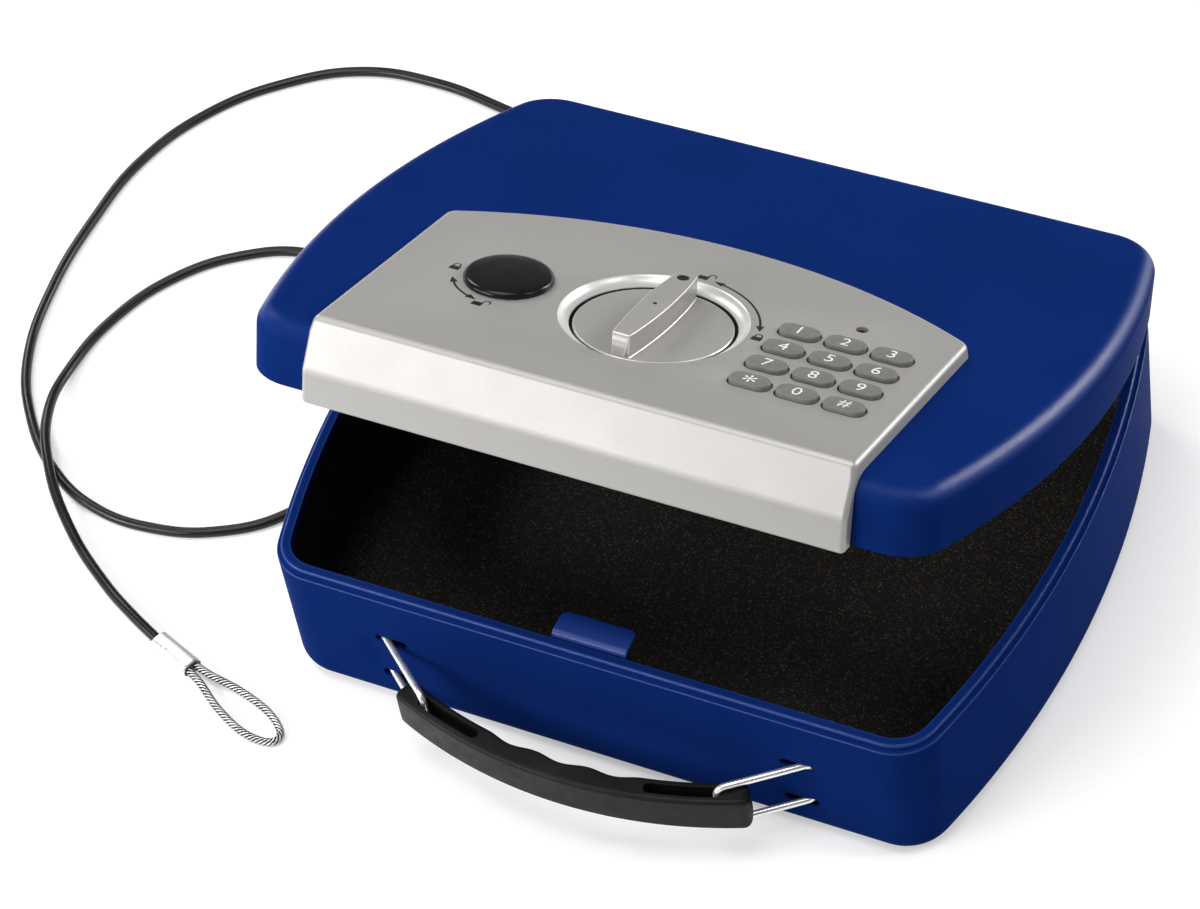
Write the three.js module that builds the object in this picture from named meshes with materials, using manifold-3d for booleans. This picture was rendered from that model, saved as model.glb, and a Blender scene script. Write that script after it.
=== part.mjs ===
// A portable car safe: a drawn steel tub and lid on a piano hinge, a silver lock panel with a dial, a keypad
// and a spare-key lock under a black cap, a folding carrying handle, and a coated steel tether cable.
// Lengths are millimetres and +Z is up. The front faces -Y, and the origin is the centre of the tub's
// bottom. The lid stands open, and its pieces are drawn as if it were shut, inside a group that turns them.
import * as THREE from "three";
import { mergeVertices, mergeGeometries } from "three/addons/utils/BufferGeometryUtils.js";
import Module from "manifold-3d";

const wasm = await Module();
wasm.setup();

// Tub and lid in plan
const DEPTH = 215.5;
const FRONT_HALF_WIDTH = 120;
const BACK_HALF_WIDTH = 121;
const SIDE_BULGE = 16.7;
const FRONT_CORNER_RADIUS = 17.6;
const BACK_CORNER_RADIUS = 19.7;
const STEEL = 1.2;

// Tub in height
const TUB_HEIGHT = 56.1;
const TUB_EDGE_RADIUS = 8;
const SHOULDER_ROUND = 0.6;
const LIP_INSET = 1.65;
const LIP_HEIGHT = 2.3;
const LIP_WIDTH = 3.8;
const HEM_DEPTH = 3.5;

// Lid
const LID_HEIGHT = 23.9;
const LID_EDGE_RADIUS = 7.8;
const LID_SEAT_GAP = 0.4;
const LID_OPEN_DEGREES = 22.1;

// Gaps between pieces
const GAP = 0.3;
const RUN_GAP = 0.4;
const CUT = 1;

// Liner
const LINER_FLOOR = 3;
const LINER_ROOM = 3;

// Piano hinge
const KNUCKLE_RADIUS = 2.4;
const HINGE_PIN_RADIUS = 1.2;
const HINGE_LEAF = 1;
const HINGE_LEAF_HEIGHT = 15;
const HINGE_HALF_LENGTH = 75;
const HINGE_KNUCKLES = 5;
const HINGE_DROP = 1.5;
const RIVET_RADIUS = 1.5;
const RIVET_HEAD_RADIUS = 2.8;
const RIVET_HEAD = 1;
const RIVET_MARGIN = 20;

// Keeper that the bolt hooks under
const KEEPER_HALF_WIDTH = 14;
const KEEPER_STEEL = 1.6;
const KEEPER_SETBACK = 2;
const KEEPER_SHELF = 8.5;
const KEEPER_RISE = 1.6;
const KEEPER_FOOT = 16;
const KEEPER_RIVET_SPACING = 16;

// Handle
const WIRE_RADIUS = 1.25;
const WIRE_SIDES = 8;
const BAIL_STEPS = 48;
const BAIL_PIVOT_X = 81;
const BAIL_LENGTH = 33.2;
const BAIL_HEIGHT = 19;
const BAIL_BEND = 3.2;
const BAIL_DEGREES = 38.5;
const BAIL_FOLDED_DEGREES = 24;
const HANDLE_Z = 25;
const GRIP_RADIUS = 166;
const GRIP_THICKNESS = 9;
const GRIP_HEIGHT = 15;
const GRIP_HALF_LENGTH = 65.5;
const GRIP_SLOT_LENGTH = 26;
const GRIP_SLOT_GAP = 0.75;
const WALL_SLOT_GAP = 0.6;
const DIMPLE_DEPTH = 0.6;
const DIMPLE_WIDTH = 16;
const DIMPLE_HEIGHT = 27;

// Lock panel
const PANEL_RISE = 5;
const PANEL_MARGIN = 23.6;
const PANEL_LENGTH = 95.55;
const PANEL_SIDE_SLOPE = 1;
const PANEL_BACK_BULGE = 25.3;
const PANEL_BACK_CORNER = 4.2;
const PANEL_RIDGE_SETBACK = 1.45;
const PANEL_FACE_OUT = 5;
const PANEL_CHAMFER_DROP = 17.3;
const PANEL_SKIRT_DROP = 1.2;
const PANEL_TOP = 1.6;
const PANEL_WALL = 1.8;
const BOSS_RADIUS = 3.6;

// Dial
const DIAL_SETBACK = 58.05;
const DIAL_RADIUS = 27.2;
const DIAL_SINK = 2.8;
const DIAL_DISC = 1.6;
const DIAL_GAP = 0.5;
const DISH_RADIUS = 32;
const BAR_HEIGHT = 8.2;
const BAR_HALF_LENGTH = 25.8;
const BAR_HALF_WIDTH = 4.6;
const BAR_END_HALF_WIDTH = 3.4;

// Spare-key lock and its cap
const CAP_SIDE_SETBACK = 42.7;
const CAP_FRONT_SETBACK = 57.75;
const CAP_RADIUS = 15.35;
const CAP_HEIGHT = 2.6;
const CAP_SPIGOT_RADIUS = 11.7;
const CAP_SPIGOT_WALL = 1.5;
const CAP_SPIGOT_DEPTH = 2.2;
const CYLINDER_RADIUS = 9;
const CYLINDER_LENGTH = 18;
const PLUG_RADIUS = 6;
const KEYWAY_WIDTH = 1.6;
const KEYWAY_LENGTH = 8;
const KEYWAY_DEPTH = 12;

// Keypad
const KEYPAD_SIDE_SETBACK = 33.8;
const KEYPAD_FRONT_SETBACK = 52.35;
const KEY_PITCH_X = 16.45;
const KEY_PITCH_Y = 13.2;
const KEY_LENGTH = 13.9;
const KEY_WIDTH = 9.05;
const KEY_RISE = 1.65;
const KEY_GAP = 0.5;
const KEY_FLANGE = 0.6;
const KEY_FLANGE_WIDTH = 1.1;
const KEY_WAIST_SHARE = 0.06;
const BOARD = 0.9;
const BOARD_MARGIN = 0.6;
const LAMP_RADIUS = 1.9;
const LAMP_UP = 33.7;

// Lock case inside the lid
const CASE_MARGIN = 16.4;
const CASE_SETBACK = 19.75;
const CASE_WIDTH = 68;
const CASE_DEPTH = 18.3;
const CASE_WALL = 1.8;
const CASE_LID_GAP = 0.5;
const FLANGE = 1.9;
const FLANGE_MARGIN = 8;
const FLANGE_SIDE = 13;
const NOSE_HALF_WIDTH = 12.3;
const NOSE_DEPTH = 6.5;
const SCREW_RADIUS = 1.5;
const SCREW_HEAD_RADIUS = 2.9;
const SCREW_HEAD = 1.9;
const SCREW_LENGTH = 8.5;

// Spindle, bolt and solenoid
const SPINDLE_RADIUS = 4;
const CRANK_RADIUS = 8.5;
const CRANK = 2;
const CRANK_PIN_RADIUS = 1.5;
const BOLT_TRAVEL = 8;
const BOLT_THICKNESS = 2.2;
const BOLT_REACH = 1.3;
const BOLT_SLOT_GAP = 0.45;
const BOLT_ROOM = 2.15;
const CAM_RADIUS = 10;
const CAM = 2.4;
const CAM_RISE = 5;
const SOLENOID_LENGTH = 22;
const SOLENOID_WIDTH = 13;
const SOLENOID_HEIGHT = 11;
const SOLENOID_SETBACK = 6;
const PLUNGER_RADIUS = 2;
const PLUNGER_LENGTH = 17;
const PLUNGER_TRAVEL = 2.6;

// Cells and their door
const CELL_RADIUS = 5.25;
const CELL_LENGTH = 44.5;
const CELL_TIP_RADIUS = 1.9;
const CELL_TIP = 0.8;
const CELL_COUNT = 4;
const CELL_PITCH = 11;
const CELL_SIDE_ROOM = 3.15;
const CELL_FRONT_ROOM = 4.2;
const DOOR_MARGIN = 2;
const DOOR_CATCH = 0.8;

// Tether cable
const CABLE_RADIUS = 2;
const CABLE_SIDES = 8;
const CABLE_STEPS = 78;
const CABLE_EXIT_X = -95;
const CABLE_EXIT_Z = 14;
const GROMMET_RADIUS = 3.6;
const GROMMET_FLANGE_RADIUS = 5.4;
const GROMMET_FLANGE = 2;
const STOP_RADIUS = 4.2;
const STOP_LENGTH = 12;
const CORD_REST = 0.1;
const FERRULE_HALF_WIDTH = 4.3;
const FERRULE_HALF_HEIGHT = 3.3;
const FERRULE_LENGTH = 19.5;
const FERRULE_CHAMFER = 0.8;
const ROPE_RADIUS = 1.5;
const LOOP_LENGTH = 46;
const LOOP_STEPS = 32;
const LOOP_HALF_WIDTH = 6;
const POST_X = -78;
const POST_SETBACK = 25.75;
const POST_RADIUS = 3;
const POST_HEAD_RADIUS = 5;
const POST_HEAD = 2;
const POST_HEIGHT = 16;
const NOTCH_X = -84;
const NOTCH_WIDTH = 5.5;
const NOTCH_DEPTH = 4.6;

// Heights and places that follow
const FRONT_Y = -DEPTH / 2;
const BACK_Y = DEPTH / 2;
const LID_TOP = TUB_HEIGHT + LID_HEIGHT;
const LID_EDGE = TUB_HEIGHT + LID_SEAT_GAP;
const LID_CEILING = LID_TOP - STEEL;
const RIM_TOP = TUB_HEIGHT + LIP_HEIGHT;
const RIM_INSET = LIP_INSET + LIP_WIDTH;
const PANEL_Z = LID_TOP + PANEL_RISE;
const PANEL_HALF_WIDTH = FRONT_HALF_WIDTH - PANEL_MARGIN;
const PANEL_BACK_Y = FRONT_Y + PANEL_LENGTH;
const PANEL_RIDGE_Y = FRONT_Y + PANEL_RIDGE_SETBACK;
const DIAL_Y = FRONT_Y + DIAL_SETBACK;
const CAP_X = CAP_SIDE_SETBACK - PANEL_HALF_WIDTH;
const CAP_Y = FRONT_Y + CAP_FRONT_SETBACK;
const KEYPAD_X = PANEL_HALF_WIDTH - KEYPAD_SIDE_SETBACK;
const KEYPAD_Y = FRONT_Y + KEYPAD_FRONT_SETBACK;
const CASE_HALF_LENGTH = PANEL_HALF_WIDTH - CASE_MARGIN;
const CASE_FRONT_Y = FRONT_Y + CASE_SETBACK;
const CASE_BACK_Y = CASE_FRONT_Y + CASE_WIDTH;
const PANEL_UNDERSIDE = PANEL_Z - PANEL_TOP;
const DIAL_Z = PANEL_Z - DIAL_SINK;
const CASE_TOP = LID_CEILING - CASE_LID_GAP;
const CASE_BOTTOM = CASE_TOP - CASE_DEPTH;
const CASE_FLOOR = CASE_BOTTOM + CASE_WALL;
const NOSE_BOTTOM = CASE_BOTTOM - NOSE_DEPTH;
const NOSE_FLOOR = NOSE_BOTTOM + CASE_WALL;
const BOLT_BOTTOM = NOSE_FLOOR + RUN_GAP;
const BOLT_TOP = BOLT_BOTTOM + BOLT_THICKNESS;
const CRANK_BOTTOM = BOLT_TOP + RUN_GAP;
const CRANK_TOP = CRANK_BOTTOM + CRANK;
const CRANK_ARM = BOLT_TRAVEL / Math.SQRT2;
const CRANK_PIN_X = CRANK_ARM / Math.SQRT2;
const CRANK_PIN_Y = DIAL_Y + CRANK_ARM / Math.SQRT2;
const BOLT_SLOT_HALF = CRANK_PIN_RADIUS + BOLT_SLOT_GAP;
const BOLT_END_Y = CRANK_PIN_Y + BOLT_SLOT_HALF + CRANK_PIN_RADIUS * 2;
const NOSE_BACK_Y = BOLT_END_Y + BOLT_ROOM + CASE_WALL;
const SCREW_X = CASE_HALF_LENGTH + FLANGE_MARGIN;
const SCREW_FRONT_Y = CASE_FRONT_Y - FLANGE_MARGIN / 2;
const SCREW_BACK_Y = CASE_BACK_Y - FLANGE_MARGIN / 4;
const CELL_X = CASE_HALF_LENGTH - CASE_WALL - CELL_SIDE_ROOM - CELL_TIP - CELL_LENGTH / 2;
const CELL_Y = CASE_FRONT_Y + CASE_WALL + CELL_FRONT_ROOM + (CELL_COUNT * CELL_PITCH) / 2;
const POST_Y = BACK_Y - POST_SETBACK;
const HINGE_Y = BACK_Y + GAP + KNUCKLE_RADIUS;
const HINGE_Z = TUB_HEIGHT - HINGE_DROP;
const BAIL_PIVOT_Y = FRONT_Y + STEEL + GAP + WIRE_RADIUS;

// Materials
const finish = (color, roughness, metalness = 0) =>
  new THREE.MeshStandardMaterial({ color, roughness, metalness });
const bluePaint = finish(0x0d2a86, 0.45, 0.1);
const blackFoam = finish(0x101011, 0.95);
const silverPaint = finish(0xb3b2ae, 0.4, 0.5);
const steel = finish(0xb8bcc0, 0.3, 0.9);
const blackPlastic = finish(0x1a1a1b, 0.5);
const glossBlack = finish(0x0c0c0d, 0.2);
const keyGrey = finish(0x6f6f69, 0.6);
const brass = finish(0xb08d4a, 0.35, 0.8);
const boardGreen = finish(0x1f4a30, 0.7);
const aluminium = finish(0xc4c6c8, 0.35, 0.8);
const cellBlack = finish(0x2a2a2c, 0.4, 0.2);

// Geometry into a solid that can be cut and joined, and back
function solid(geometry) {
  const bare = geometry.clone();
  bare.deleteAttribute("normal");
  bare.deleteAttribute("uv");
  const merged = mergeVertices(bare, 1e-4);
  return new wasm.Manifold(
    new wasm.Mesh({
      numProp: 3,
      vertProperties: new Float32Array(merged.attributes.position.array),
      triVerts: new Uint32Array(merged.index.array),
    }),
  );
}

function geometryOf(body) {
  const mesh = body.getMesh();
  const geometry = new THREE.BufferGeometry();
  geometry.setAttribute("position", new THREE.BufferAttribute(mesh.vertProperties, 3));
  geometry.setIndex(new THREE.BufferAttribute(mesh.triVerts, 1));
  geometry.computeVertexNormals();
  return geometry;
}

function cut(body, ...tools) {
  return tools.reduce((rest, tool) => rest.subtract(tool), body);
}

function join(...bodies) {
  return bodies.reduce((whole, body) => whole.add(body));
}

// Two ends of a span, the lower one first
function ordered(...ends) {
  return ends.sort((a, b) => a - b);
}

// A box between two corners
function block([x0, x1], [y0, y1], [z0, z1]) {
  const geometry = new THREE.BoxGeometry(x1 - x0, y1 - y0, z1 - z0);
  return solid(geometry.translate((x0 + x1) / 2, (y0 + y1) / 2, (z0 + z1) / 2));
}

// An upright round bar or disc
function post(x, y, z0, z1, radius, sides = 20) {
  const geometry = new THREE.CylinderGeometry(radius, radius, z1 - z0, sides);
  return solid(geometry.rotateX(Math.PI / 2).translate(x, y, (z0 + z1) / 2));
}

// A turned piece from a profile of [radius, height] pairs, standing at x, y
function turned(x, y, profile, sides = 24) {
  const points = profile.map(([radius, height]) => new THREE.Vector2(radius, height));
  return solid(new THREE.LatheGeometry(points, sides).rotateX(Math.PI / 2).translate(x, y, 0));
}

// An outline of points, raised from z0 to z1
function raised(points, z0, z1) {
  const shape = new THREE.Shape(points);
  const geometry = new THREE.ExtrudeGeometry(shape, { depth: z1 - z0, bevelEnabled: false });
  return solid(geometry.translate(0, 0, z0));
}

// A round-sectioned wire or cable along a curve; an arc takes two sides for each segment
function drawn(curve, radius, sides, steps) {
  const section = new THREE.Shape();
  section.absarc(0, 0, radius, 0, Math.PI * 2);
  return new THREE.ExtrudeGeometry(section, {
    steps,
    extrudePath: curve,
    curveSegments: sides / 2,
    bevelEnabled: false,
  });
}

// Points on an arc about a centre
function arcPoints(centreX, centreY, radius, from, to, steps) {
  const points = [];
  for (let i = 0; i <= steps; i++) {
    const angle = from + ((to - from) * i) / steps;
    points.push(new THREE.Vector2(centreX + radius * Math.cos(angle), centreY + radius * Math.sin(angle)));
  }
  return points;
}

// The plan outline that tub, lid and liner share, moved inwards by an inset. The front and back are
// straight, each side is one arc from front to back, and the corners are rounded.
const sideRise = BACK_HALF_WIDTH - FRONT_HALF_WIDTH;
const sideChord = Math.hypot(sideRise, DEPTH);
const SIDE_RADIUS = (sideChord ** 2 / 4 + SIDE_BULGE ** 2) / (2 * SIDE_BULGE);
const SIDE_CENTRE_X =
  (FRONT_HALF_WIDTH + BACK_HALF_WIDTH) / 2 - (DEPTH / sideChord) * (SIDE_RADIUS - SIDE_BULGE);
const SIDE_CENTRE_Y = (sideRise / sideChord) * (SIDE_RADIUS - SIDE_BULGE);
const CORNER_STEPS = 4;
const SIDE_STEPS = 8;
const LEAST_CORNER = 1;

function planOutline(inset) {
  const radius = SIDE_RADIUS - inset;
  const front = Math.max(FRONT_CORNER_RADIUS - inset, LEAST_CORNER);
  const back = Math.max(BACK_CORNER_RADIUS - inset, LEAST_CORNER);
  const frontY = FRONT_Y + inset + front;
  const backY = BACK_Y - inset - back;
  const frontX = SIDE_CENTRE_X + Math.sqrt((radius - front) ** 2 - (frontY - SIDE_CENTRE_Y) ** 2);
  const backX = SIDE_CENTRE_X + Math.sqrt((radius - back) ** 2 - (backY - SIDE_CENTRE_Y) ** 2);
  const frontTurn = Math.atan2(frontY - SIDE_CENTRE_Y, frontX - SIDE_CENTRE_X);
  const backTurn = Math.atan2(backY - SIDE_CENTRE_Y, backX - SIDE_CENTRE_X);
  const right = [
    ...arcPoints(frontX, frontY, front, -Math.PI / 2, frontTurn, CORNER_STEPS),
    ...arcPoints(SIDE_CENTRE_X, SIDE_CENTRE_Y, radius, frontTurn, backTurn, SIDE_STEPS).slice(1),
    ...arcPoints(backX, backY, back, backTurn, Math.PI / 2, CORNER_STEPS).slice(1),
  ];
  const left = right.map((point) => new THREE.Vector2(-point.x, point.y)).reverse();
  return [...right, ...left];
}

// A solid with the plan outline, from levels of [inset, height] listed from the bottom up
function stacked(levels, outline = planOutline) {
  const rings = levels.map(([inset]) => outline(inset));
  const count = rings[0].length;
  const positions = [];
  const index = [];
  rings.forEach((ring, level) => ring.forEach((point) => positions.push(point.x, point.y, levels[level][1])));
  for (let level = 0; level < rings.length - 1; level++) {
    for (let i = 0; i < count; i++) {
      const a = level * count + i;
      const b = level * count + ((i + 1) % count);
      index.push(a, b, b + count, a, b + count, a + count);
    }
  }
  const top = (rings.length - 1) * count;
  for (const [a, b, c] of THREE.ShapeUtils.triangulateShape(rings[0], [])) index.push(a, c, b);
  for (const [a, b, c] of THREE.ShapeUtils.triangulateShape(rings[rings.length - 1], [])) {
    index.push(top + a, top + b, top + c);
  }
  const geometry = new THREE.BufferGeometry();
  geometry.setAttribute("position", new THREE.Float32BufferAttribute(positions, 3));
  geometry.setIndex(index);
  return solid(geometry);
}

// Levels of a rounded edge: a quarter circle of a radius, starting at an inset and a height
function roundedEdge(inset, height, radius, steps, upwards) {
  const levels = [];
  for (let i = 0; i <= steps; i++) {
    const angle = (Math.PI / 2) * (i / steps);
    const side = radius * Math.cos(angle);
    const rise = radius * Math.sin(angle);
    if (upwards) levels.push([inset + radius - side, height - radius + rise]);
    else levels.push([inset + radius - rise, height + radius - side]);
  }
  return levels;
}

// The whole part, with the lid in a group that stands open about the hinge
const safe = new THREE.Group();
const lidPivot = new THREE.Group();
lidPivot.position.set(0, HINGE_Y, HINGE_Z);
lidPivot.rotation.x = -THREE.MathUtils.degToRad(LID_OPEN_DEGREES);
const lid = new THREE.Group();
lid.position.set(0, -HINGE_Y, -HINGE_Z);
lidPivot.add(lid);
safe.add(lidPivot);

function add(group, name, body, material) {
  const geometry = body instanceof THREE.BufferGeometry ? body : geometryOf(body);
  const mesh = new THREE.Mesh(geometry, material);
  mesh.name = name;
  group.add(mesh);
}

// Where the bails pass through the tub's front wall
const bailSides = [
  ["left", -1],
  ["right", 1],
];
const bailZ = [HANDLE_Z + BAIL_HEIGHT / 2, HANDLE_Z - BAIL_HEIGHT / 2];

function wallSlot(side, z) {
  const pivotToFace = BAIL_PIVOT_Y - FRONT_Y;
  const folded = THREE.MathUtils.degToRad(BAIL_FOLDED_DEGREES);
  const reach = pivotToFace / Math.tan(folded) + WIRE_RADIUS / Math.sin(folded) + WALL_SLOT_GAP;
  const back = WIRE_RADIUS + WALL_SLOT_GAP;
  const x = ordered(side * (BAIL_PIVOT_X - reach), side * (BAIL_PIVOT_X + back));
  const half = WIRE_RADIUS + WALL_SLOT_GAP;
  return block(x, [FRONT_Y - CUT, FRONT_Y + STEEL + CUT], [z - half, z + half]);
}

function wallDimple(side) {
  const geometry = new THREE.SphereGeometry(1, 14, 8);
  const bulge = DIMPLE_WIDTH / 4;
  geometry.scale(DIMPLE_WIDTH / 2, bulge, DIMPLE_HEIGHT / 2);
  const x = side * (BAIL_PIVOT_X - WIRE_RADIUS * 2);
  return solid(geometry.translate(x, FRONT_Y - bulge + DIMPLE_DEPTH, HANDLE_Z));
}

// Tub: rounded bottom edge, upright wall, shoulder, raised lip with a folded hem
function tub() {
  const outside = stacked([
    ...roundedEdge(0, 0, TUB_EDGE_RADIUS, 4, false),
    [0, TUB_HEIGHT - SHOULDER_ROUND],
    [SHOULDER_ROUND, TUB_HEIGHT],
    [LIP_INSET, TUB_HEIGHT],
    [LIP_INSET, RIM_TOP - SHOULDER_ROUND],
    [LIP_INSET + SHOULDER_ROUND, RIM_TOP],
  ]);
  const inside = stacked([
    ...roundedEdge(STEEL, STEEL, TUB_EDGE_RADIUS - STEEL, 3, false),
    [STEEL, RIM_TOP - HEM_DEPTH],
  ]);
  const mouth = stacked([
    [RIM_INSET, RIM_TOP - HEM_DEPTH - CUT],
    [RIM_INSET, RIM_TOP + CUT],
  ]);
  const slots = bailSides.flatMap(([, side]) => bailZ.map((z) => wallSlot(side, z)));
  const dimples = bailSides.map(([, side]) => wallDimple(side));
  const wall = [BACK_Y - STEEL - CUT, BACK_Y + CUT];
  const cableHole = along(CABLE_EXIT_X, CABLE_EXIT_Z, ...wall, GROMMET_RADIUS + GAP);
  const notch = block(
    [NOTCH_X - NOTCH_WIDTH / 2, NOTCH_X + NOTCH_WIDTH / 2],
    [BACK_Y - RIM_INSET - CUT, BACK_Y + CUT],
    [RIM_TOP - NOTCH_DEPTH, RIM_TOP + CUT],
  );
  const rivetHoles = [
    ...hingeRivetPlaces.map((x) => along(x, hingeRivetZ(-1), ...wall, RIVET_RADIUS + GAP, 10)),
    ...keeperRivetPlaces.map((x) => post(x, KEEPER_RIVET_Y, -CUT, STEEL + CUT, RIVET_RADIUS + GAP, 10)),
    post(POST_X, POST_Y, -CUT, STEEL + CUT, RIVET_RADIUS + GAP, 10),
  ];
  return cut(outside, inside, mouth, ...slots, ...dimples, cableHole, notch, ...rivetHoles);
}

// A round bar lying along Y
function along(x, z, y0, y1, radius, sides = 16) {
  const geometry = new THREE.CylinderGeometry(radius, radius, y1 - y0, sides);
  return solid(geometry.translate(x, (y0 + y1) / 2, z));
}

// A round bar lying along X
function across(x0, x1, y, z, radius, sides = 16) {
  const geometry = new THREE.CylinderGeometry(radius, radius, x1 - x0, sides);
  return solid(geometry.rotateZ(Math.PI / 2).translate((x0 + x1) / 2, y, z));
}

// Keeper: foot on the tub's floor, riser behind the front rim, shelf for the bolt
const KEEPER_FRONT_Y = FRONT_Y + RIM_INSET + KEEPER_SETBACK - KEEPER_STEEL;
const KEEPER_TOP = RIM_TOP + KEEPER_RISE;
const KEEPER_RIVET_Y = KEEPER_FRONT_Y + KEEPER_FOOT - KEEPER_SETBACK * 2;
const keeperRivetPlaces = [-KEEPER_RIVET_SPACING / 2, KEEPER_RIVET_SPACING / 2];

function keeper() {
  const x = [-KEEPER_HALF_WIDTH, KEEPER_HALF_WIDTH];
  const bottom = STEEL + GAP;
  const front = KEEPER_FRONT_Y;
  const bend = front + KEEPER_STEEL;
  const foot = block(x, [bend, front + KEEPER_FOOT], [bottom, bottom + KEEPER_STEEL]);
  const lowBend = across(...x, bend, bottom + KEEPER_STEEL, KEEPER_STEEL);
  const riser = block(x, [front, bend], [bottom + KEEPER_STEEL, KEEPER_TOP - KEEPER_STEEL]);
  const highBend = across(...x, bend, KEEPER_TOP - KEEPER_STEEL, KEEPER_STEEL);
  const shelf = block(x, [bend, bend + KEEPER_SHELF], [KEEPER_TOP - KEEPER_STEEL, KEEPER_TOP]);
  const holes = keeperRivetPlaces.map((at) =>
    post(at, KEEPER_RIVET_Y, 0, bottom + KEEPER_STEEL + CUT, RIVET_RADIUS + GAP, 10),
  );
  return cut(join(foot, lowBend, riser, highBend, shelf), ...holes);
}

// A rivet up through the floor, flush below and headed above
function floorRivet(x, y, seat) {
  return turned(x, y, [
    [0, GAP],
    [RIVET_RADIUS, GAP],
    [RIVET_RADIUS, seat],
    [RIVET_HEAD_RADIUS, seat],
    [RIVET_HEAD_RADIUS, seat + RIVET_HEAD / 2],
    [RIVET_RADIUS, seat + RIVET_HEAD],
    [0, seat + RIVET_HEAD],
  ], 12);
}

// Liner: a foam tray with a wall under the hem, pocketed for the bails, the keeper and the cable
const LINER_INSET = STEEL + GAP;
const LINER_BOTTOM = STEEL + GAP;
const LINER_TOP = RIM_TOP - HEM_DEPTH - GAP;

function liner() {
  const edge = TUB_EDGE_RADIUS - STEEL;
  const outside = stacked([
    ...roundedEdge(LINER_INSET, LINER_BOTTOM, edge, 3, false),
    [LINER_INSET, LINER_TOP],
  ]);
  const floor = LINER_BOTTOM + LINER_FLOOR;
  const inside = stacked([
    ...roundedEdge(RIM_INSET, floor, edge - LINER_FLOOR / 2, 3, false),
    [RIM_INSET, LINER_TOP + CUT],
  ]);
  const bailPockets = bailSides.map(([, side]) => {
    const reach = BAIL_LENGTH / 2 + WIRE_RADIUS;
    const x = ordered(side * (BAIL_PIVOT_X - reach), side * (BAIL_PIVOT_X + LINER_ROOM * 2));
    const half = BAIL_HEIGHT / 2 + WIRE_RADIUS + LINER_ROOM;
    return block(x, [FRONT_Y, BAIL_PIVOT_Y + WIRE_RADIUS + RUN_GAP], [HANDLE_Z - half, HANDLE_Z + half]);
  });
  const keeperRoom = block(
    [-KEEPER_HALF_WIDTH - GAP, KEEPER_HALF_WIDTH + GAP],
    [KEEPER_FRONT_Y - GAP, KEEPER_FRONT_Y + KEEPER_FOOT + GAP],
    [0, LINER_TOP + CUT],
  );
  const stopRoom = along(CABLE_EXIT_X, CABLE_EXIT_Z, BACK_Y - STOP_LENGTH * 2, BACK_Y, STOP_RADIUS + GAP);
  const rivetRoom = hingeRivetPlaces.map((x) =>
    along(x, hingeRivetZ(-1), BACK_Y - STEEL * 2 - RIVET_HEAD - GAP, BACK_Y, RIVET_HEAD_RADIUS + GAP, 12),
  );
  const postRoom = post(POST_X, POST_Y, 0, floor + CUT, POST_HEAD_RADIUS + GAP, 16);
  return cut(outside, inside, ...bailPockets, keeperRoom, stopRoom, ...rivetRoom, postRoom);
}

// Hinge: two leaves with alternate knuckles on one pin, riveted to the back walls
const hingeRivetPlaces = [-1, 0, 1].map((side) => side * (HINGE_HALF_LENGTH - RIVET_MARGIN));

function hingeRivetZ(way) {
  return HINGE_Z + way * (KNUCKLE_RADIUS + (HINGE_LEAF_HEIGHT - KNUCKLE_RADIUS) / 2);
}

function hingeLeaf(way) {
  const span = (2 * HINGE_HALF_LENGTH) / HINGE_KNUCKLES;
  const leafY = [BACK_Y + GAP, BACK_Y + GAP + HINGE_LEAF];
  const leafStart = HINGE_Z + way * (KNUCKLE_RADIUS + RUN_GAP);
  const leafZ = ordered(leafStart, HINGE_Z + way * HINGE_LEAF_HEIGHT);
  let leaf = block([-HINGE_HALF_LENGTH, HINGE_HALF_LENGTH], leafY, leafZ);
  for (let i = way < 0 ? 0 : 1; i < HINGE_KNUCKLES; i += 2) {
    const from = -HINGE_HALF_LENGTH + i * span + GAP;
    const to = from + span - 2 * GAP;
    const web = block([from, to], leafY, ordered(HINGE_Z, leafStart + way * CUT));
    leaf = join(leaf, web, across(from, to, HINGE_Y, HINGE_Z, KNUCKLE_RADIUS, 12));
  }
  const boreEnd = HINGE_HALF_LENGTH + CUT;
  const bore = across(-boreEnd, boreEnd, HINGE_Y, HINGE_Z, HINGE_PIN_RADIUS + GAP / 2, 12);
  const holes = hingeRivetPlaces.map((x) =>
    along(x, hingeRivetZ(way), BACK_Y, leafY[1] + CUT, RIVET_RADIUS + GAP, 10),
  );
  return cut(leaf, bore, ...holes);
}

// A rivet through a back wall, headed inside and outside
function wallRivet(x, z) {
  const inner = BACK_Y - STEEL - GAP;
  const outer = BACK_Y + GAP + HINGE_LEAF + GAP;
  return join(
    along(x, z, inner - RIVET_HEAD, inner, RIVET_HEAD_RADIUS, 12),
    along(x, z, inner - RIVET_HEAD, outer + RIVET_HEAD, RIVET_RADIUS, 12),
    along(x, z, outer, outer + RIVET_HEAD, RIVET_HEAD_RADIUS, 12),
  );
}

// Handle: a bowed grip with a slot near each end, hung on two wire rings
const bailAngle = THREE.MathUtils.degToRad(BAIL_DEGREES);
const BAIL_END_X = BAIL_PIVOT_X - BAIL_LENGTH * Math.cos(bailAngle);
const BAIL_END_Y = BAIL_PIVOT_Y - BAIL_LENGTH * Math.sin(bailAngle);
const GRIP_CENTRE_Y = BAIL_END_Y + Math.sqrt(GRIP_RADIUS ** 2 - BAIL_END_X ** 2);

function gripArc(offset, fromX, toX, steps) {
  const radius = GRIP_RADIUS + offset;
  const angles = [fromX, toX].map((x) => -Math.PI / 2 + Math.asin(x / radius));
  return arcPoints(0, GRIP_CENTRE_Y, radius, angles[0], angles[1], steps);
}

function gripOutline(half, fromX, toX, steps) {
  return [...gripArc(half, fromX, toX, steps), ...gripArc(-half, toX, fromX, steps)];
}

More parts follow.
